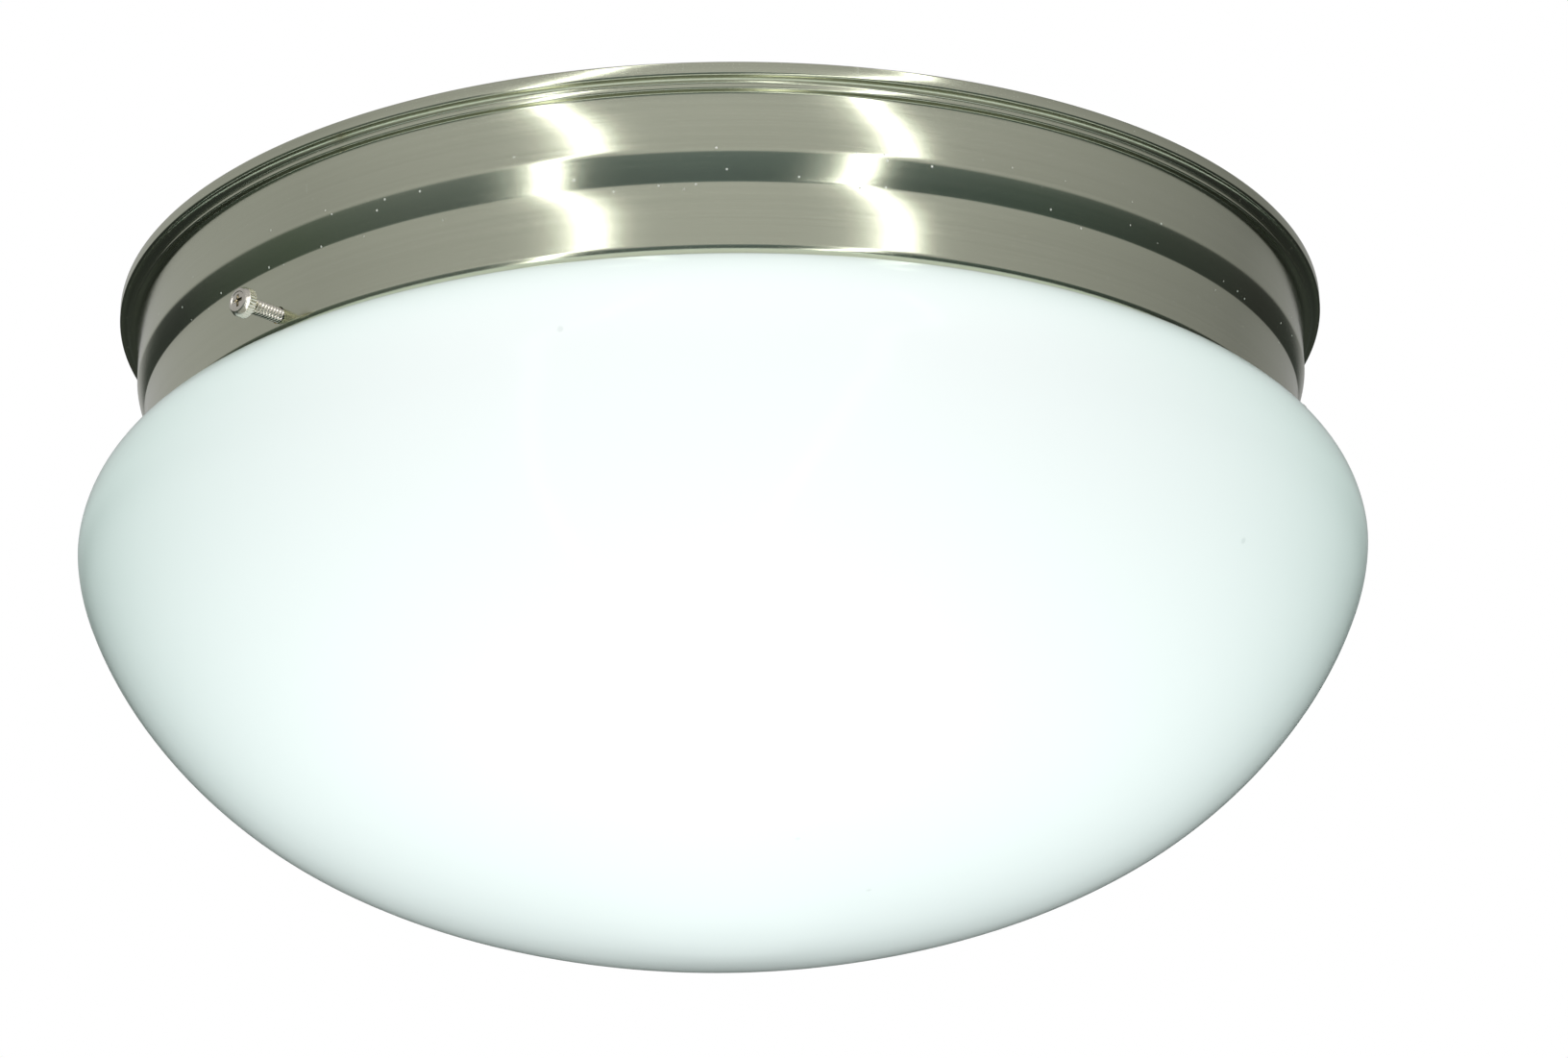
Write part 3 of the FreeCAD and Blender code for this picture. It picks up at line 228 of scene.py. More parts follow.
# what lights the pale pieces
level = w.ramp(w.math("DIVIDE", side, 180.0), [
    (0.0, (0.85, 0.82, 0.83)), (0.28, (0.66, 0.73, 0.71)), (0.5, (0.10, 0.31, 0.21)), (0.62, (0.12, 0.23, 0.17)), (0.78, (0.18, 0.26, 0.22)), (0.87, (1.00, 1.02, 1.00)), (1.0, (1.80, 1.80, 1.80))])
height = w.ramp(w.map(elevation, -90.0, 90.0, 0.0, 1.0), [(0.0, (0.95, 0.95, 0.95)), (0.36, (0.45, 0.45, 0.45)), (0.5, (1.0, 1.0, 1.0)), (0.6, (1.90, 1.76, 1.80)), (0.78, (3.1, 2.6, 2.75))])
ground = w.map(elevation, -60.0, -30.0, 1.0, 0.0, smooth=True)
soft = w.mix(ground, w.mix(1.0, level, height, "MULTIPLY"), (2.36, 2.26, 2.30))


def background(colour, strength=1.0):
    n = w.new("ShaderNodeBackground")
    w.put(n.inputs[0], colour)
    n.inputs[1].default_value = strength
    return n.outputs[0]


def choose(factor, a, b):
    n = w.new("ShaderNodeMixShader")
    for socket, value in zip(n.inputs, (factor, a, b)):
        w.link(value, socket)
    return n.outputs[0]


path_node = w.new("ShaderNodeLightPath")
lit = choose(path_node.outputs["Is Diffuse Ray"], background(shown), background(soft))
out = w.new("ShaderNodeOutputWorld")
w.link(choose(path_node.outputs["Is Camera Ray"], lit, background((1.0, 1.0, 1.0, 1.0))), out.inputs[0])


def area(name, at, aim, size, power, glossy=True, diffuse=True, spin=0.0, colour=(1, 1, 1)):
    data = bpy.data.lights.new(name, "AREA")
    data.shape = "RECTANGLE"
    data.size, data.size_y = size
    data.energy = power
    data.color = colour
    o = bpy.data.objects.new(name, data)
    scene.collection.objects.link(o)
    way = Vector(aim) - Vector(at)
    o.matrix_world = Matrix.Translation(at) @ way.to_track_quat("-Z", "Y").to_matrix().to_4x4() @ Matrix.Rotation(math.radians(spin), 4, "Z")
    o.visible_camera = False
    o.visible_glossy = glossy
    o.visible_diffuse = diffuse
    return o


def towards(az, el, distance):
    a, e = math.radians(az), math.radians(el)
    return Vector((math.sin(a) * math.cos(e), -math.cos(a) * math.cos(e), math.sin(e))) * distance


# a broad soft lamp that falls on the glass and doesn't show in the metal
area("soft_front", towards(0, -38, 2.4), (0, 0, -0.08), (2.6, 1.8), 1.0, glossy=False)

# pale floor far below
mat, g, sh, place = material("floor_pale")
sh.inputs["Roughness"].default_value = 0.8
g.put(sh.inputs["Base Color"], g.mix(g.noise(place, 3.0), (0.76, 0.70, 0.715), (0.79, 0.73, 0.745)))
floor_mesh = bpy.data.meshes.new("floor")
floor_mesh.from_pydata([(-6, -6, -2.2), (6, -6, -2.2), (6, 6, -2.2), (-6, 6, -2.2)], [], [(0, 1, 2, 3)])
floor = bpy.data.objects.new("floor", floor_mesh)
floor_mesh.materials.append(mat)
scene.collection.objects.link(floor)
floor.visible_glossy = floor.visible_diffuse = False

# ---------------------------------------------------------------- materials
# brushed nickel, spun and brushed round the axis
nickel, g, sh, place = material("brushed_nickel")
fine = g.noise(round_the_axis(g, place, 9.0, 5200.0), 1.0, 5.0, 0.62)
broad = g.noise(round_the_axis(g, place, 5.0, 700.0), 1.0, 3.0, 0.5)
cloud = g.noise(place, 22.0, 4.0, 0.55)
sh.inputs["Anisotropic"].default_value = 0.6
sh.inputs["Anisotropic Rotation"].default_value = 0.25
tangent = g.new("ShaderNodeTangent", direction_type="RADIAL", axis="Z")
g.link(tangent.outputs[0], sh.inputs["Tangent"])
tone = g.math("ADD", g.math("MULTIPLY", fine, 0.5), g.math("ADD", g.math("MULTIPLY", broad, 0.3), g.math("MULTIPLY", cloud, 0.2)))
base = g.ramp(tone, [(0.30, (0.565, 0.587, 0.460)), (0.5, (0.600, 0.622, 0.490)), (0.72, (0.635, 0.655, 0.525))])
# sparse handling marks: specks and short upright ticks
spot, hue = g.cells(place, 330.0)
chosen = g.math("GREATER_THAN", g.xyz(hue)[0], 0.30)
speck = g.math("MULTIPLY", g.math("LESS_THAN", spot, 0.085), chosen)
tick, hue2 = g.cells(g.stretch(place, 1.0, 1.0, 0.16), 170.0)
chosen2 = g.math("GREATER_THAN", g.xyz(hue2)[1], 0.55)
ticks = g.math("MULTIPLY", g.math("LESS_THAN", tick, 0.042), chosen2)
in_step = g.map(g.math("ABSOLUTE", g.math("ADD", g.xyz(place)[2], 0.0213)), 0.0035, 0.0060, 0.85, 0.12)
marks = g.math("MULTIPLY", g.math("MAXIMUM", speck, ticks), in_step)
g.put(sh.inputs["Metallic"], g.math("SUBTRACT", 1.0, g.math("MULTIPLY", marks, 0.75)))
g.put(sh.inputs["Base Color"], g.mix(g.math("MULTIPLY", marks, 0.8), base, (0.78, 0.82, 0.76)))
rough = g.math("ADD", g.map(fine, 0.3, 0.7, 0.13, 0.18), g.math("MULTIPLY", marks, 0.35))
g.put(sh.inputs["Roughness"], g.math("ADD", rough, g.map(cloud, 0.35, 0.65, -0.012, 0.015)))
g.put(sh.inputs["Normal"], g.bump(g.math("ADD", g.math("MULTIPLY", fine, 1.0), g.math("MULTIPLY", marks, 0.8)), 0.10, 0.00006))

# opal glass: white inside a clear, slightly green skin
opal, g, sh, place = material("opal_glass")
cloud = g.noise(place, 9.0, 2.0, 0.5)
base = g.ramp(cloud, [(0.3, (0.975, 0.982, 0.980)), (0.7, (0.985, 0.990, 0.988))])
spot, hue = g.cells(place, 62.0)
chosen = g.math("GREATER_THAN", g.xyz(hue)[0], 0.93)
dust = g.math("MULTIPLY", g.map(spot, 0.03, 0.055, 1.0, 0.0), chosen)
# the clear skin, slightly green
sh.inputs["Coat Weight"].default_value = 1.0
sh.inputs["Coat Tint"].default_value = (0.86, 0.93, 0.915, 1.0)
sh.inputs["Coat IOR"].default_value = 1.2
sh.inputs["Coat Roughness"].default_value = 0.34
g.put(sh.inputs["Base Color"], g.mix(g.math("MULTIPLY", dust, 0.22), base, (0.45, 0.52, 0.50)))
g.put(sh.inputs["Roughness"], g.map(g.noise(place, 160.0, 3.0, 0.6), 0.3, 0.7, 0.035, 0.065))
sh.inputs["IOR"].default_value = 1.52
sh.inputs["Specular IOR Level"].default_value = 0.07
wave = g.noise(place, 14.0, 2.0, 0.5)
g.put(sh.inputs["Normal"], g.bump(wave, 0.12, 0.0010))

PLAIN = {}


def finish(name, low, high, rough, metallic=0.0, grain=300.0, bump=0.05, depth=0.00005, squeeze=(1, 1, 1), **sockets):
    """A finish with its own grain: two tones, roughness and relief all from one noise, and a broader second tone."""
    m, g, sh, place = material(name)
    v = g.stretch(place, *squeeze)
    n = g.noise(v, grain, 4.0, 0.6)
    broad = g.noise(place, 28.0, 3.0, 0.5)
    t = g.math("ADD", g.math("MULTIPLY", n, 0.6), g.math("MULTIPLY", broad, 0.4))
    g.put(sh.inputs["Base Color"], g.ramp(t, [(0.32, low), (0.68, high)]))
    g.put(sh.inputs["Roughness"], g.map(t, 0.3, 0.7, rough[0], rough[1]))
    sh.inputs["Metallic"].default_value = metallic
    for key, value in sockets.items():
        sh.inputs[key.replace("_", " ")].default_value = value
    g.put(sh.inputs["Normal"], g.bump(n, bump, depth))
    PLAIN[name] = m
    return m


finish("white_enamel", (0.80, 0.80, 0.78), (0.86, 0.86, 0.84), (0.22, 0.36), grain=420.0, bump=0.12, depth=0.00008)
finish("zinc_steel", (0.56, 0.58, 0.60), (0.72, 0.73, 0.74), (0.26, 0.46), metallic=1.0, grain=180.0, bump=0.06, depth=0.00005)
finish("green_steel", (0.03, 0.20, 0.07), (0.05, 0.30, 0.11), (0.25, 0.42), metallic=0.35, grain=500.0)
finish("nylon", (0.80, 0.79, 0.74), (0.87, 0.86, 0.81), (0.38, 0.52), grain=700.0, bump=0.08)
finish("porcelain", (0.84, 0.83, 0.78), (0.90, 0.89, 0.85), (0.06, 0.14), grain=60.0, bump=0.08, depth=0.0003, Coat_Weight=0.6, Coat_Roughness=0.04)
finish("brass", (0.66, 0.46, 0.20), (0.80, 0.60, 0.29), (0.20, 0.38), metallic=1.0, grain=260.0, squeeze=(1, 1, 1))
finish("lamp_cap_metal", (0.66, 0.67, 0.68), (0.80, 0.81, 0.82), (0.18, 0.34), metallic=1.0, grain=240.0)
finish("lamp_contact", (0.42, 0.42, 0.42), (0.60, 0.60, 0.59), (0.28, 0.50), metallic=1.0, grain=900.0, bump=0.2, depth=0.0001)
finish("lamp_insulator", (0.012, 0.012, 0.016), (0.03, 0.03, 0.036), (0.08, 0.16), grain=120.0)
finish("tungsten", (0.16, 0.16, 0.17), (0.26, 0.26, 0.27), (0.30, 0.50), metallic=1.0, grain=1500.0)
finish("black_insulation", (0.018, 0.018, 0.018), (0.032, 0.032, 0.032), (0.30, 0.44), grain=900.0)
finish("white_insulation", (0.78, 0.78, 0.76), (0.86, 0.86, 0.84), (0.30, 0.44), grain=900.0)
finish("green_insulation", (0.025, 0.22, 0.08), (0.04, 0.30, 0.11), (0.30, 0.44), grain=900.0)
finish("bright_nickel", (0.70, 0.66, 0.58), (0.82, 0.79, 0.71), (0.10, 0.20), metallic=1.0, grain=900.0, bump=0.04)

# etched lamp glass, clear stem glass, soft vinyl, glass-fibre pad
lamp_glass, g, sh, place = material("lamp_glass")
n = g.noise(place, 500.0, 3.0, 0.5)
g.put(sh.inputs["Base Color"], g.ramp(n, [(0.3, (0.86, 0.86, 0.83)), (0.7, (0.92, 0.92, 0.90))]))
g.put(sh.inputs["Roughness"], g.map(n, 0.3, 0.7, 0.10, 0.18))
g.put(sh.inputs["Normal"], g.bump(n, 0.04, 0.00005))
stem_glass, g, sh, place = material("lamp_stem")
n = g.noise(place, 300.0, 3.0, 0.5)
g.put(sh.inputs["Base Color"], g.ramp(n, [(0.3, (0.86, 0.90, 0.90)), (0.7, (0.92, 0.95, 0.95))]))
g.put(sh.inputs["Roughness"], g.map(n, 0.3, 0.7, 0.03, 0.08))
sh.inputs["Transmission Weight"].default_value = 0.8
vinyl, g, sh, place = material("soft_vinyl")
n = g.noise(place, 800.0, 3.0, 0.5)
g.put(sh.inputs["Base Color"], g.ramp(n, [(0.3, (0.72, 0.69, 0.60)), (0.7, (0.80, 0.77, 0.69))]))
g.put(sh.inputs["Roughness"], g.map(n, 0.3, 0.7, 0.30, 0.45))
fibre, g, sh, place = material("glass_fibre")
a = g.noise(g.stretch(place, 1.0, 0.18, 0.3), 900.0, 5.0, 0.7, distortion=1.2)
b = g.noise(g.stretch(place, 0.16, 1.0, 0.3), 800.0, 5.0, 0.7, distortion=1.2)
c = g.noise(place, 60.0, 4.0, 0.6)
strands = g.math("MAXIMUM", a, b)
t = g.math("ADD", g.math("MULTIPLY", strands, 0.7), g.math("MULTIPLY", c, 0.3))
g.put(sh.inputs["Base Color"], g.ramp(t, [(0.35, (0.60, 0.50, 0.24)), (0.52, (0.78, 0.70, 0.42)), (0.68, (0.90, 0.85, 0.62))]))
g.put(sh.inputs["Roughness"], g.map(t, 0.3, 0.7, 0.75, 0.95))
sh.inputs["Sheen Weight"].default_value = 0.3
g.put(sh.inputs["Normal"], g.bump(t, 0.8, 0.0009))
PLAIN.update(lamp_glass=lamp_glass, lamp_stem=stem_glass, soft_vinyl=vinyl, glass_fibre=fibre, brushed_nickel=nickel, opal_glass=opal)

# every CAD node gets its slot's finish
slot_of = {s["node"]: s["material_slot"] for s in frame["record"]["subparts"]}
for name, obj in nodes.items():
    obj.data.materials.clear()
    obj.data.materials.append(PLAIN[slot_of[name]])


# ---------------------------------------------------------------- mesh helpers
def add_mesh(name, verts, faces, mat, smooth=True, sharp=28.0):
    mesh = bpy.data.meshes.new(name)
    mesh.from_pydata([tuple(v) for v in verts], [], faces)
    mesh.validate()
    mesh.update()
    obj = bpy.data.objects.new(name, mesh)
    scene.collection.objects.link(obj)
    mesh.materials.append(mat)
    if smooth:
        mesh.shade_smooth()
        if sharp:
            mesh.set_sharp_from_angle(angle=math.radians(sharp))
    return obj


def arc_points(a, b, radius, side, count):
    """Points from a to b on an arc whose centre is on the left (side 1) or right (side -1) of the way."""
    (ax, ay), (bx, by) = a, b
    mx, my = (ax + bx) / 2, (ay + by) / 2
    ux, uy = bx - ax, by - ay
    half = math.hypot(ux, uy) / 2
    ux, uy = ux / (2 * half), uy / (2 * half)
    rise = math.sqrt(max(radius * radius - half * half, 0.0))
    cx, cy = mx - uy * side * rise, my + ux * side * rise
    t0, t1 = math.atan2(ay - cy, ax - cx), math.atan2(by - cy, bx - cx)
    if side > 0 and t1 < t0:
        t1 += 2 * math.pi
    if side < 0 and t0 < t1:
        t0 += 2 * math.pi
    return [(cx + radius * math.cos(t0 + (t1 - t0) * i / count), cy + radius * math.sin(t0 + (t1 - t0) * i / count)) for i in range(count)]


def profile(corners, arc_step=0.35, line_step=1e9):
    """Profile points in mm from corners (r, z), or (r, z, radius, side) where an arc runs to the next corner."""
    pts = []
    for i, c in enumerate(corners):
        n = corners[(i + 1) % len(corners)]
        a, b = (c[0], c[1]), (n[0], n[1])
        length = math.hypot(b[0] - a[0], b[1] - a[1])
        if len(c) == 4:
            pts += arc_points(a, b, c[2], c[3], max(4, int(length / arc_step) + 2))
        else:
            count = max(1, int(math.ceil(length / line_step)))
            pts += [(a[0] + (b[0] - a[0]) * k / count, a[1] + (b[1] - a[1]) * k / count) for k in range(count)]
    return pts


def lathe(name, pts, mat, segments=256, closed=True, place=None, sharp=28.0):
    """pts (r, z) in mm, turned about Z. A point on the axis closes to a fan. place maps local metres to the frame."""
    verts, rings = [], []
    for r, z in pts:
        if abs(r) < 1e-6:
            rings.append([len(verts)])
            verts.append(Vector((0, 0, z * MM)))
        else:
            start = len(verts)
            rings.append(list(range(start, start + segments)))
            for k in range(segments):
                t = 2 * math.pi * k / segments
                verts.append(Vector((r * math.cos(t) * MM, r * math.sin(t) * MM, z * MM)))
    faces = []
    count = len(rings) if closed else len(rings) - 1
    for i in range(count):
        a, b = rings[i], rings[(i + 1) % len(rings)]
        if len(a) == 1 and len(b) == 1:
            continue
        for k in range(segments):
            n = (k + 1) % segments
            if len(a) == 1:
                faces.append((a[0], b[n], b[k]))
            elif len(b) == 1:
                faces.append((a[k], a[n], b[0]))
            else:
                faces.append((a[k], a[n], b[n], b[k]))
    if place is not None:
        verts = [place @ v for v in verts]
    obj = add_mesh(name, verts, faces, mat, sharp=sharp)
    outward(obj)
    return obj


def outward(obj):
    bm = bmesh.new()
    bm.from_mesh(obj.data)
    bmesh.ops.recalc_face_normals(bm, faces=bm.faces)
    if bm.calc_volume(signed=True) < 0:
        bmesh.ops.reverse_faces(bm, faces=bm.faces)
    bm.to_mesh(obj.data)
    bm.free()
    obj.data.update()


def stands_for(obj, body, *names, slot=None):
    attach(obj, body)
    if names:
        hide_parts(*names)
    return obj


# ---------------------------------------------------------------- the spun pan, with its three screw holes
T = 0.8
SCREW_Z = -36.4
SCREW_AZ = [math.radians(t - 44.1 - 90) for t in (0, 120, 240)]
PAN = [
    (144.4, 0), (144.7, 0, 0.5, -1), (145.2, -0.5), (145.2, -2.6, 0.5, -1), (144.7, -3.1, 2.0, 1), (143.05, -3.85, 0.25, 1), (142.86, -4.15), (142.8, -4.85, 0.3, -1),
    (142.5, -5.15), (141.46, -5.15, 0.35, 1), (141.11, -5.5, 47.7, 1), (140.736, -9.0, 80.2, 1), (140.567, -12.5, 195.0, 1), (140.5, -17.6, 6.0, -1),
    (140.346, -18.95, 45.6, -1), (138.55, -24.6), (138.5, -24.9, 35.8, 1), (138.303, -27.4, 87.6, 1), (138.228, -30.0, 286.0, 1)]
WALL_ROWS = [-34.0 - 4.7 * i / 6 for i in range(7)]
outer = profile(PAN + [(138.2, -34.0)], arc_step=0.25)[:-1]
outer = [p for i, p in enumerate(outer) if i == 0 or math.dist(p, outer[i - 1]) > 1e-6]
outer += [(138.2, z) for z in WALL_ROWS]
bead = profile([(138.2, -38.8, 2.1, -1), (136.1, -40.9), (136.1, -40.1, 1.3, 1), (137.4, -38.8), (137.4, -38.8)], arc_step=0.22)[:-1]
inner = [(137.4, z) for z in reversed(WALL_ROWS)]
inner += profile([(137.4, -30.0), (137.5, -27.4), (137.8, -24.8), (137.9, -24.3, 44.8, 1), (139.567, -18.77, 5.2, 1), (139.7, -17.6), (139.7, -12.0), (140.05, -5.9), (140.05, -4.8),
                  (140.55, -4.3), (141.5, -4.25), (141.8, -3.95), (142.3, -3.1), (143.1, -2.45), (144.0, -2.3), (144.4, -1.9)], arc_step=0.5)
pan_pts = outer + bead + inner
pan_pts = [p for i, p in enumerate(pan_pts) if math.dist(p, pan_pts[i - 1]) > 1e-6]

HALF = 2.6 / 138.2
ACROSS = 8
cols = []
base_cols = 360
for k in range(base_cols):
    t = -math.pi + 2 * math.pi * k / base_cols
    if all(abs((t - s + math.pi) % (2 * math.pi) - math.pi) > HALF * 1.35 for s in SCREW_AZ):
        cols.append(t)
for s in SCREW_AZ:
    s = (s + math.pi) % (2 * math.pi) - math.pi
    cols += [s + HALF * (2 * i / ACROSS - 1) for i in range(ACROSS + 1)]
cols.sort()
verts = [Vector((r * math.cos(t) * MM, r * math.sin(t) * MM, z * MM)) for r, z in pan_pts for t in cols]
NC = len(cols)


def row_of(r, z):
    return min(range(len(pan_pts)), key=lambda i: math.dist(pan_pts[i], (r, z)))


outer_rows = [row_of(138.2, z) for z in WALL_ROWS]
inner_rows = [row_of(137.4, z) for z in WALL_ROWS]
windows = []
for s in SCREW_AZ:
    s = (s + math.pi) % (2 * math.pi) - math.pi
    first = min(range(NC), key=lambda k: abs(cols[k] - (s - HALF)))
    windows.append((s, first))


def in_window(row, col):
    for s, first in windows:
        if first <= col < first + ACROSS:
            if outer_rows[0] <= row < outer_rows[-1] or inner_rows[-1] <= row < inner_rows[0]:
                return True
    return False


faces = []
for i in range(len(pan_pts)):
    j = (i + 1) % len(pan_pts)
    for k in range(NC):
        if in_window(i, k):
            continue
        n = (k + 1) % NC
        faces.append((i * NC + k, i * NC + n, j * NC + n, j * NC + k))
for s, first in windows:
    circles = []
    for radius, rows in ((138.2, outer_rows), (137.4, inner_rows)):
        loop = [(rows[0], first + i) for i in range(ACROSS)]
        loop += [(rows[i], first + ACROSS) for i in range(len(rows) - 1)]
        loop += [(rows[-1], first + ACROSS - i) for i in range(ACROSS)]
        loop += [(rows[-1 - i], first) for i in range(len(rows) - 1)]
        ring0 = [r * NC + c for r, c in loop]
        flat = [((cols[c] - s) * 138.2, pan_pts[r][1]) for r, c in loop]
        rings = [ring0]
        for f in (0.35, 0.7, 1.0):
            ring = []
            for x, z in flat:
                a = math.atan2(z - SCREW_Z, x)
                cx, cz = 1.95 * math.cos(a), SCREW_Z + 1.95 * math.sin(a)
                px, pz = x + (cx - x) * f, z + (cz - z) * f
                t = s + px / 138.2
                ring.append(len(verts))
                verts.append(Vector((radius * math.cos(t) * MM, radius * math.sin(t) * MM, pz * MM)))
            rings.append(ring)
        for a, b in zip(rings, rings[1:]):
            for k in range(len(a)):
                n = (k + 1) % len(a)
                faces.append((a[k], a[n], b[n], b[k]))
        circles.append(rings[-1])
    a, b = circles
    for k in range(len(a)):
        n = (k + 1) % len(a)
        faces.append((a[k], a[n], b[n], b[k]))
pan = add_mesh("pan_spun", verts, faces, nickel, sharp=24.0)
outward(pan)
stands_for(pan, "fixture", "fitter_pan", slot="brushed_nickel")

# ---------------------------------------------------------------- the glass
BLOWN = [
    (125.9, -40.85), (130.5, -41.15), (135.0, -41.4), (138.4, -41.65), (140.4, -42.05), (142.4, -43.05), (144.5, -44.75), (146.5, -46.75), (148.5, -49.35),
    (150.3, -52.6), (151.6, -56.3), (152.25, -59.8), (152.4, -62.4), (152.1, -65.7), (151.3, -69.7), (150.05, -73.7), (148.4, -77.7),
    (146.55, -81.7), (144.4, -85.7), (142.0, -89.7), (139.3, -93.7), (136.3, -97.7), (133.0, -101.7), (129.4, -105.7), (125.4, -109.7),
    (121.0, -113.7), (116.1, -117.7), (110.6, -121.7), (104.3, -125.7), (97.0, -129.7), (88.8, -133.6), (79.4, -137.4), (67.9, -141.2),
    (54.6, -144.8), (39.5, -148.0), (22.0, -150.8), (0.0, -152.0)]
scale_out = (152.4 + 0.02) / 152.4
poles = [(r * scale_out if z < -50 else r, z) for r, z in BLOWN]


def inward(points):
    moved = []
    for i in range(1, len(points) - 1):
        (ax, az), (bx, bz) = points[i - 1], points[i + 1]
        d = math.hypot(bx - ax, bz - az)
        ux, uz = (bx - ax) / d, (bz - az) / d
        moved.append((points[i][0] + uz * 3.0, points[i][1] - ux * 3.0))
    return moved


outside_poles = poles[:-1] + [(10, -152), (0, -152)]
inside_poles = [(120.6, -41.0), (120.6, -43.0), (123.4, -43.9)] + inward(poles) + [(10, -149), (0, -149)]


def clamped_cubic(p, per_span):
    """Points of the cubic with these poles that starts and ends on its first and last pole."""
    n = len(p)
    knots = [0.0] * 4 + [float(i) for i in range(1, n - 3)] + [float(n - 3)] * 4
    out = []
    total = n - 3
    steps = total * per_span
    for q in range(steps + 1):
        u = total * q / steps
        k = min(int(u), total - 1) + 3
        d = [p[j + k - 3] for j in range(4)]
        for r in range(1, 4):
            for j in range(3, r - 1, -1):
                lo, hi = knots[j + k - 3], knots[j + 1 + k - r]
                a = 0.0 if hi == lo else (u - lo) / (hi - lo)
                d[j] = ((1 - a) * d[j - 1][0] + a * d[j][0], (1 - a) * d[j - 1][1] + a * d[j][1])
        out.append(d[3])
    return out


outside = clamped_cubic(outside_poles, 4)
inside = clamped_cubic(inside_poles, 3)
neck_low = -40.85 + (125.9 - 123.6)
foot = arc_points((123.6, neck_low), (125.9, -40.85), 2.3, 1, 8)
lip_r = [(lip_x, lip_z) for lip_x, lip_z in (
    arc_points((124.7, -30.6), (126.0, -31.9), 1.3, -1, 6) + arc_points((126.0, -32.8), (125.0, -33.8), 1.0, -1, 6) + [(125.0, -33.8), (123.9, -33.8)]
    + [(123.6, -34.1)])]
shade_pts = lip_r + foot + outside[:-1] + [(0, -152.0)]
inner_run = [(0, -149.0)] + list(reversed(inside[:-1])) + [(120.6, -36.0), (120.6, -31.6)] + [(120.9, -30.9), (121.6, -30.6)]
shade = lathe("shade_glass", shade_pts + inner_run, opal, segments=384, closed=True, sharp=35.0)
stands_for(shade, "shade", "glass_shade", slot="opal_glass")

# ---------------------------------------------------------------- holding screws
PITCH = 25.4 / 32


def screw_frame(angle):
    """Local metres with +Z outwards along the screw, to the row frame."""
    out = Vector((math.cos(angle), math.sin(angle), 0))
    up = Vector((0, 0, 1))
    across = up.cross(out)
    m = Matrix((up, across, out)).transposed().to_4x4()
    return Matrix.Translation((0, 0, SCREW_Z * MM)) @ m


def thread(name, start, end, major, minor, pitch, mat, place, around=28, per_turn=12, taper=0.6, hand=1, inside=False):
    """A threaded rod from start to end along +Z, in mm, closed at both ends."""
    rows = int(round((end - start) / pitch * per_turn))
    verts, faces = [], []
    for i in range(rows + 1):
        z = start + (end - start) * i / rows
        for k in range(around):
            t = 2 * math.pi * k / around
            p = ((z / pitch - hand * t / (2 * math.pi)) % 1.0)
            tri = abs(2 * p - 1)                                   # 1 at the root, 0 at the crest
            h = min(1.0, max(0.0, (tri - 0.12) / 0.76))
            r = major - (major - minor) * h
            edge = min(1.0, (z - start) / taper, (end - z) / taper)
            r = minor + (r - minor) * max(0.0, edge)
            verts.append(Vector((r * math.cos(t) * MM, r * math.sin(t) * MM, z * MM)))
    for i in range(rows):
        for k in range(around):
            n = (k + 1) % around
            faces.append((i * around + k, i * around + n, (i + 1) * around + n, (i + 1) * around + k))
    low, high = len(verts), len(verts) + 1
    verts += [Vector((0, 0, start * MM)), Vector((0, 0, end * MM))]
    for k in range(around):
        n = (k + 1) % around
        faces.append((low, n, k))
        faces.append((high, rows * around + k, rows * around + n))
    obj = add_mesh(name, [place @ v for v in verts], faces, mat, sharp=40.0)
    outward(obj)
    return obj


def cut_with(obj, tool):
    mod = obj.modifiers.new("cut", "BOOLEAN")
    mod.operation, mod.object, mod.solver = "DIFFERENCE", tool, "EXACT"
    deps = bpy.context.evaluated_depsgraph_get()
    done = bpy.data.meshes.new_from_object(obj.evaluated_get(deps))
    obj.modifiers.clear()
    old = obj.data
    obj.data = done
    bpy.data.meshes.remove(old)
    bpy.data.objects.remove(tool)


def cross_tool(z, depth, place, size=1.5, width=0.42):
    """A cross-shaped punch whose arms taper towards the bottom."""
    verts, faces = [], []
    shape = [(width, width), (size, width), (size, -width), (width, -width), (width, -size), (-width, -size), (-width, -width), (-size, -width), (-size, width), (-width, width), (-width, size), (width, size)]
    for zz, f in ((z + 0.5, 1.08), (z - depth, 0.62)):
        verts += [place @ Vector((x * f * MM, y * f * MM, zz * MM)) for x, y in shape]
    n = len(shape)
    faces = [(k, (k + 1) % n, n + (k + 1) % n, n + k) for k in range(n)]
    faces += [tuple(range(n)), tuple(range(2 * n - 1, n - 1, -1))]
    o = add_mesh("punch", verts, faces, PLAIN["bright_nickel"], smooth=False)
    outward(o)
    return o


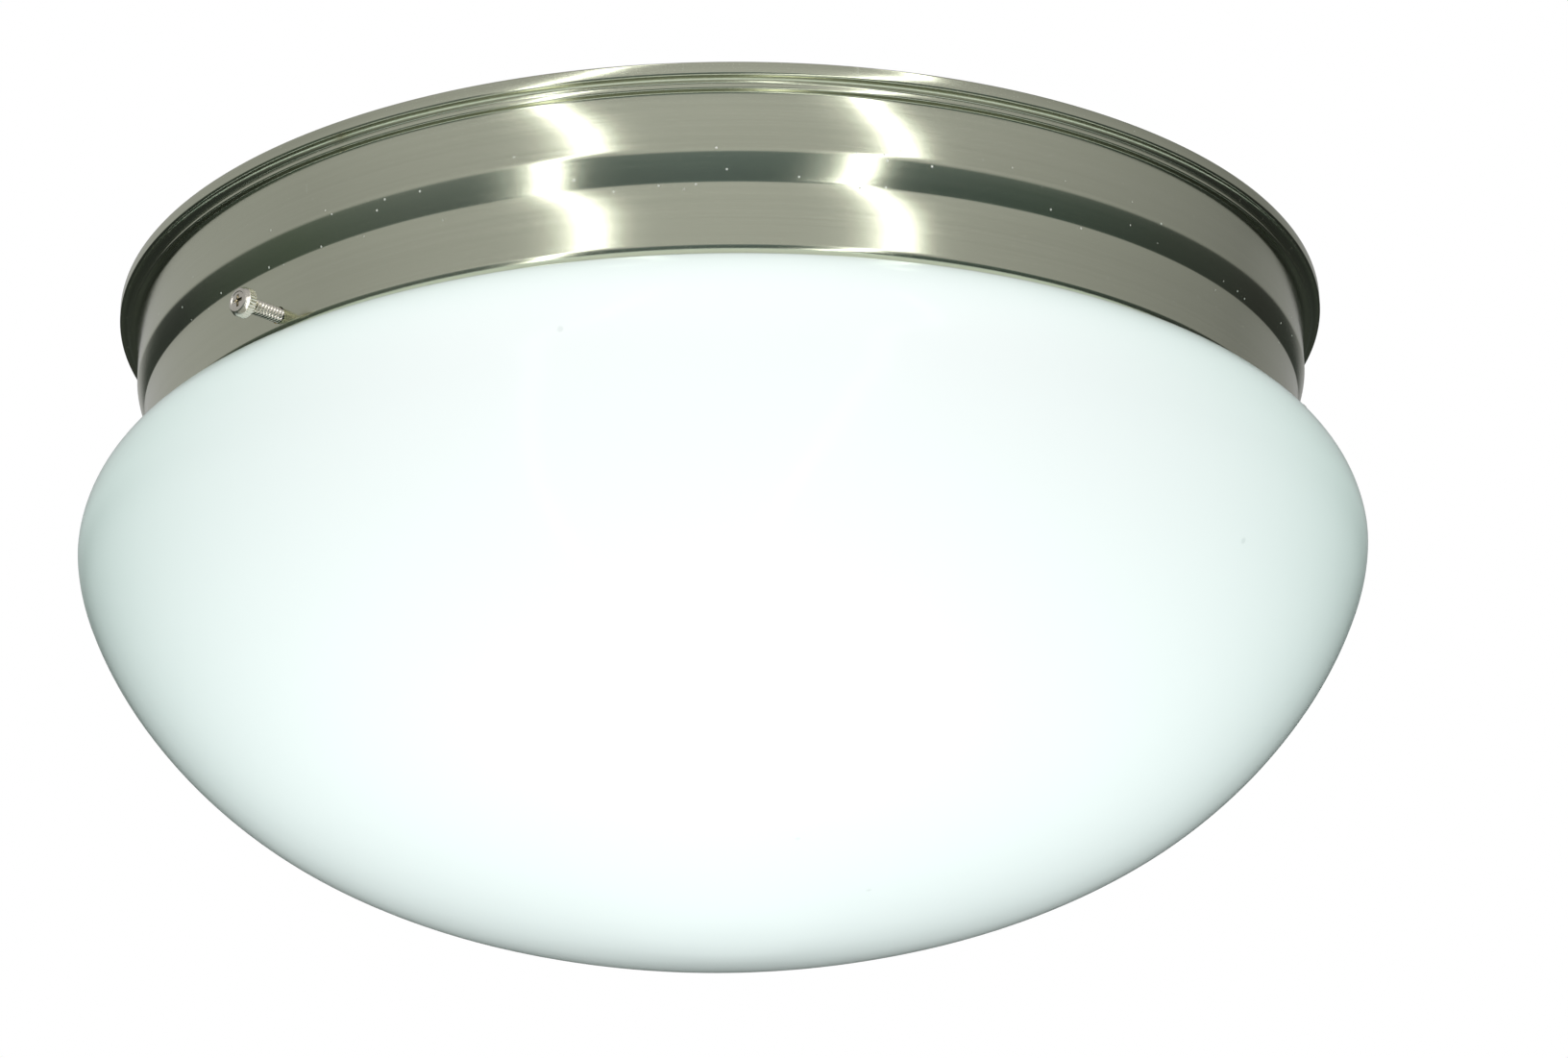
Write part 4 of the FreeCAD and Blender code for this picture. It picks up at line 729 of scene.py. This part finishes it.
def head(name, back_z, length, radius, knurls, place, depth, dome=0.0):
    """A knurled head with a chamfered face and a cross recess; plain and domed if it has no knurls."""
    around = knurls * 8 if knurls else 64
    rows = [(radius - 0.45, back_z, 0), (radius - 0.05, back_z + 0.35, 0), (radius, back_z + 0.5, 1), (radius, back_z + length - 1.15, 1), (radius, back_z + length - 1.0, 0),
            (radius - 0.12, back_z + length - 0.75, 0), (radius - 0.50, back_z + length - 0.12, 0), (radius - 0.72, back_z + length, 0), (radius - 1.15, back_z + length, 0), (radius - 1.3, back_z + length - 0.10, 0)]
    if not knurls:
        rows = [(radius, back_z, 0), (radius, back_z + 0.5, 0)] + [(radius * math.cos(a), back_z + 0.5 + (length - 0.5) * math.sin(a), 0) for a in (0.25, 0.5, 0.75, 1.0, 1.25, 1.42)]
    verts, faces = [], []
    for r, z, cutting in rows:
        for k in range(around):
            t = 2 * math.pi * k / around
            rr = r
            if cutting:
                p = (k % 8) / 8.0
                rr = r - 0.20 * (abs(2 * p - 1) ** 1.5)
            verts.append(place @ Vector((rr * math.cos(t) * MM, rr * math.sin(t) * MM, z * MM)))
    for i in range(len(rows) - 1):
        for k in range(around):
            n = (k + 1) % around
            faces.append((i * around + k, i * around + n, (i + 1) * around + n, (i + 1) * around + k))
    low, high = len(verts), len(verts) + 1
    top = (len(rows) - 1) * around
    verts += [place @ Vector((0, 0, back_z * MM)), place @ Vector((0, 0, rows[-1][1] * MM))]
    for k in range(around):
        n = (k + 1) % around
        faces.append((low, n, k))
        faces.append((high, top + k, top + n))
    o = add_mesh(name, verts, faces, PLAIN["bright_nickel"], sharp=30.0)
    outward(o)
    cut_with(o, cross_tool(back_z + length - (0.1 if knurls else 0.0), depth, place))
    o.data.shade_smooth()
    o.data.set_sharp_from_angle(angle=math.radians(30))
    return o


def joined(name, objs):
    bm = bmesh.new()
    for o in objs:
        bm.from_mesh(o.data)
    mesh = bpy.data.meshes.new(name)
    bm.to_mesh(mesh)
    bm.free()
    for m in objs[0].data.materials:
        mesh.materials.append(m)
    result = bpy.data.objects.new(name, mesh)
    scene.collection.objects.link(result)
    for o in objs:
        bpy.data.objects.remove(o)
    return result


bright = PLAIN["bright_nickel"]
place = screw_frame(SCREW_AZ[0])
shank = thread("thumb_thread", 126.4, 146.1, 1.75, 1.36, PITCH, bright, place)
neck = lathe("thumb_neck", [(0, 145.9), (1.3, 145.9), (1.42, 146.1), (1.42, 146.6), (0, 146.6)], bright, segments=32, closed=False, place=place)
cap = head("thumb_head", 146.4, 3.1, 3.3, 26, place, 1.3)
thumb = joined("thumbscrew", [shank, neck, cap])
stands_for(thumb, "screw_1", "thumb_screw", slot="bright_nickel")
for k in (1, 2):
    place = screw_frame(SCREW_AZ[k])
    shank = thread("short_thread_%d" % k, 126.4, 139.3, 1.75, 1.36, PITCH, bright, place)
    cap = head("short_head_%d" % k, 139.1, 2.2, 3.1, 0, place, 1.1)
    short = joined("short_screw_turned_%d" % (k + 1), [shank, cap])
    stands_for(short, "screw_%d" % (k + 1), "short_screw_%d" % (k + 1), slot="bright_nickel")
for k in range(3):
    place = screw_frame(SCREW_AZ[k])
    pts = [(0, 124.0)] + arc_points((1.5, 124.0), (2.4, 124.9), 0.9, 1, 6) + [(2.4, 124.9), (2.4, 127.6), (2.3, 127.9), (2.15, 128.0), (1.85, 128.0), (1.79, 127.9), (1.79, 126.3), (0, 126.3)]
    tip = lathe("tip_soft_%d" % (k + 1), pts, vinyl, segments=40, closed=False, place=place)
    stands_for(tip, "tip_%d" % (k + 1), "tip_cap_%d" % (k + 1), slot="soft_vinyl")

# ---------------------------------------------------------------- insulation pad: a fibrous ring with an uneven face and edge
random.seed(7)
rings_r = [62.0 + 76.0 * i / 46 for i in range(47)]
seg = 288
verts, faces = [], []


def wobble(r, t, k):
    return (math.sin(7 * t + 0.19 * r + k) * math.sin(0.23 * r - 3 * t + 2 * k) + 0.6 * math.sin(17 * t - 0.31 * r + k) * math.sin(0.41 * r + 5 * t)
            + 0.5 * math.sin(31 * t + 0.5 * r) * math.sin(0.77 * r - 11 * t + k))


for layer, z, way in ((0, -0.45, -1), (1, -6.65, 1)):
    for i, r in enumerate(rings_r):
        for k in range(seg):
            t = 2 * math.pi * k / seg
            edge = min(i, len(rings_r) - 1 - i)
            rr = r
            if i == 0:
                rr = r + 0.35 + 0.35 * abs(math.sin(13 * t) * math.sin(29 * t + 1))
            if i == len(rings_r) - 1:
                rr = r - 0.35 - 0.35 * abs(math.sin(17 * t) * math.sin(37 * t + 2))
            round_off = 0.9 if edge == 0 else 0.25 if edge == 1 else 0.0
            zz = z + way * (0.12 + 0.11 * wobble(r, t, layer) * 0.5 + round_off)
            zz = min(-0.42, max(-6.68, zz))
            verts.append(Vector((rr * math.cos(t) * MM, rr * math.sin(t) * MM, zz * MM)))
nr = len(rings_r)
for layer in (0, 1):
    for i in range(nr - 1):
        for k in range(seg):
            n = (k + 1) % seg
            a = layer * nr * seg
            faces.append((a + i * seg + k, a + i * seg + n, a + (i + 1) * seg + n, a + (i + 1) * seg + k))
mids = []
for i, off in ((0, -0.30), (nr - 1, 0.30)):
    start = len(verts)
    for k in range(seg):
        t = 2 * math.pi * k / seg
        r = rings_r[i] - off * (0.6 + 0.6 * math.sin(23 * t + i) * math.sin(9 * t))
        verts.append(Vector((r * math.cos(t) * MM, r * math.sin(t) * MM, -3.5 * MM)))
    mids.append((i, start))
for i, start in mids:
    for k in range(seg):
        n = (k + 1) % seg
        faces.append((i * seg + k, i * seg + n, start + n, start + k))
        faces.append((start + k, start + n, nr * seg + i * seg + n, nr * seg + i * seg + k))
wool = add_mesh("pad_fibrous", verts, faces, fibre, sharp=None)
outward(wool)
stands_for(wool, "fixture", "insulation_pad", slot="glass_fibre")

# ---------------------------------------------------------------- lamps and lampholders
LAMP_PITCH = 25.4 / 7


def holder_frame(side):
    """Local metres with +Z out of the lampholder's mouth, to the row frame. Side 1 faces +X, side -1 faces -X."""
    m = Matrix.Translation((-0.099 * side, -0.034 * side, -0.050))
    z = Vector((side, 0, 0))
    x = Vector((0, 0, -1))
    y = z.cross(x)
    return m @ Matrix((x, y, z)).transposed().to_4x4()


def helix_tube(name, runs, mat, place, around=72, sharp=35.0):
    """Closed turned form whose points are (z, base radius, wave height); the wave follows the lamp thread."""
    verts, faces = [], []
    for z, r, wave in runs:
        for k in range(around):
            t = 2 * math.pi * k / around
            p = z / LAMP_PITCH - t / (2 * math.pi)
            rr = r + wave * math.cos(2 * math.pi * p)
            verts.append(place @ Vector((rr * math.cos(t) * MM, rr * math.sin(t) * MM, z * MM)))
    n = len(runs)
    for i in range(n):
        j = (i + 1) % n
        for k in range(around):
            m = (k + 1) % around
            faces.append((i * around + k, i * around + m, j * around + m, j * around + k))
    o = add_mesh(name, verts, faces, mat, sharp=sharp)
    outward(o)
    return o


def fade(z, a, b):
    return max(0.0, min(1.0, (z - a) / 1.2, (b - z) / 1.2))


for n, s in (("1", 1), ("2", -1)):
    place = holder_frame(s)
    seat = 13.0
    # lamp cap: rolled thread between two plain collars
    out_run, in_run = [], []
    steps = 66
    for i in range(steps + 1):
        z = seat + 5.6 + (25.0 - 5.6) * i / steps
        f = fade(z, seat + 6.2, seat + 22.5)
        out_run.append((z, 12.55 if f > 0 else 12.6, 0.42 * f))
        in_run.append((z, 12.20, 0.42 * f))
    runs = [(seat + 3.9, 11.35, 0), (seat + 4.6, 12.2, 0)] + out_run + list(reversed([q for q in in_run if q[0] > seat + 6.2])) + [(seat + 6.1, 11.35, 0)]
    o = helix_tube("lamp_cap_threaded_" + n, runs, PLAIN["lamp_cap_metal"], place)
    stands_for(o, "lamp_" + n, "bulb_cap_" + n, slot="lamp_cap_metal")
    # screw shell of the lampholder, the same thread a little larger
    out_run, in_run = [], []
    for i in range(steps + 1):
        z = 14.6 + (36.0 - 14.6) * i / steps
        f = fade(z, 15.4, 34.6)
        in_run.append((z, 13.30 + 0.10 * f, 0.30 * f))
        out_run.append((z, 13.68, 0.10 * f))
    runs = [(13.1, 5.6, 0), (13.1, 12.6, 0), (13.4, 13.4, 0)] + out_run + list(reversed(in_run)) + [(13.7, 12.9, 0), (13.6, 12.5, 0), (13.6, 5.6, 0)]
    o = helix_tube("shell_threaded_" + n, runs, PLAIN["brass"], place)
    stands_for(o, "fixture", "screw_shell_" + n, slot="brass")
    # lamp envelope
    curve = [(11.7, 18.0), (12.5, 18.0), (12.5, 24.0), (12.6, 30.0), (14.6, 40.0), (19.5, 51.5), (25.6, 62.5), (29.3, 71.5)]
    pts = [(12.5, 18.0), (12.5, 21.0), (12.5, 24.0)]
    keys = [(12.5, 24.0), (12.6, 30.0), (14.6, 40.0), (19.5, 51.5), (25.6, 62.5), (29.3, 71.5), (30.0, 78.0)]

    def hermite(keys, count):
        out = []
        for i in range(len(keys) - 1):
            p0 = keys[i - 1] if i else (keys[0][0], keys[0][1] - 6)
            p1, p2 = keys[i], keys[i + 1]
            p3 = keys[i + 2] if i + 2 < len(keys) else (keys[-1][0], keys[-1][1] + 6)
            for q in range(count):
                u = q / count
                a = [0.5 * ((2 * p1[c]) + (-p0[c] + p2[c]) * u + (2 * p0[c] - 5 * p1[c] + 4 * p2[c] - p3[c]) * u * u + (-p0[c] + 3 * p1[c] - 3 * p2[c] + p3[c]) * u ** 3) for c in (0, 1)]
                out.append(tuple(a))
        return out

    body = hermite(keys, 6)
    ball = [(30.0 * math.cos(a), 78.0 + 30.0 * math.sin(a)) for a in [math.pi / 2 * i / 28 for i in range(28)]] + [(0, 108.0)]
    ball_in = [(29.2 * math.cos(a), 78.0 + 29.2 * math.sin(a)) for a in [math.pi / 2 * i / 28 for i in range(28)]] + [(0, 107.2)]
    outer_run = pts[:2] + body + ball
    inner_part = [(r - 0.8, z) for r, z in (pts[:2] + body)] + ball_in
    whole = [(r, z + seat) for r, z in outer_run + list(reversed(inner_part))]
    o = lathe("lamp_envelope_" + n, whole, lamp_glass, segments=128, closed=True, place=place, sharp=40.0)
    stands_for(o, "lamp_" + n, "bulb_glass_" + n, slot="lamp_glass")

scene.view_layers[0].update()
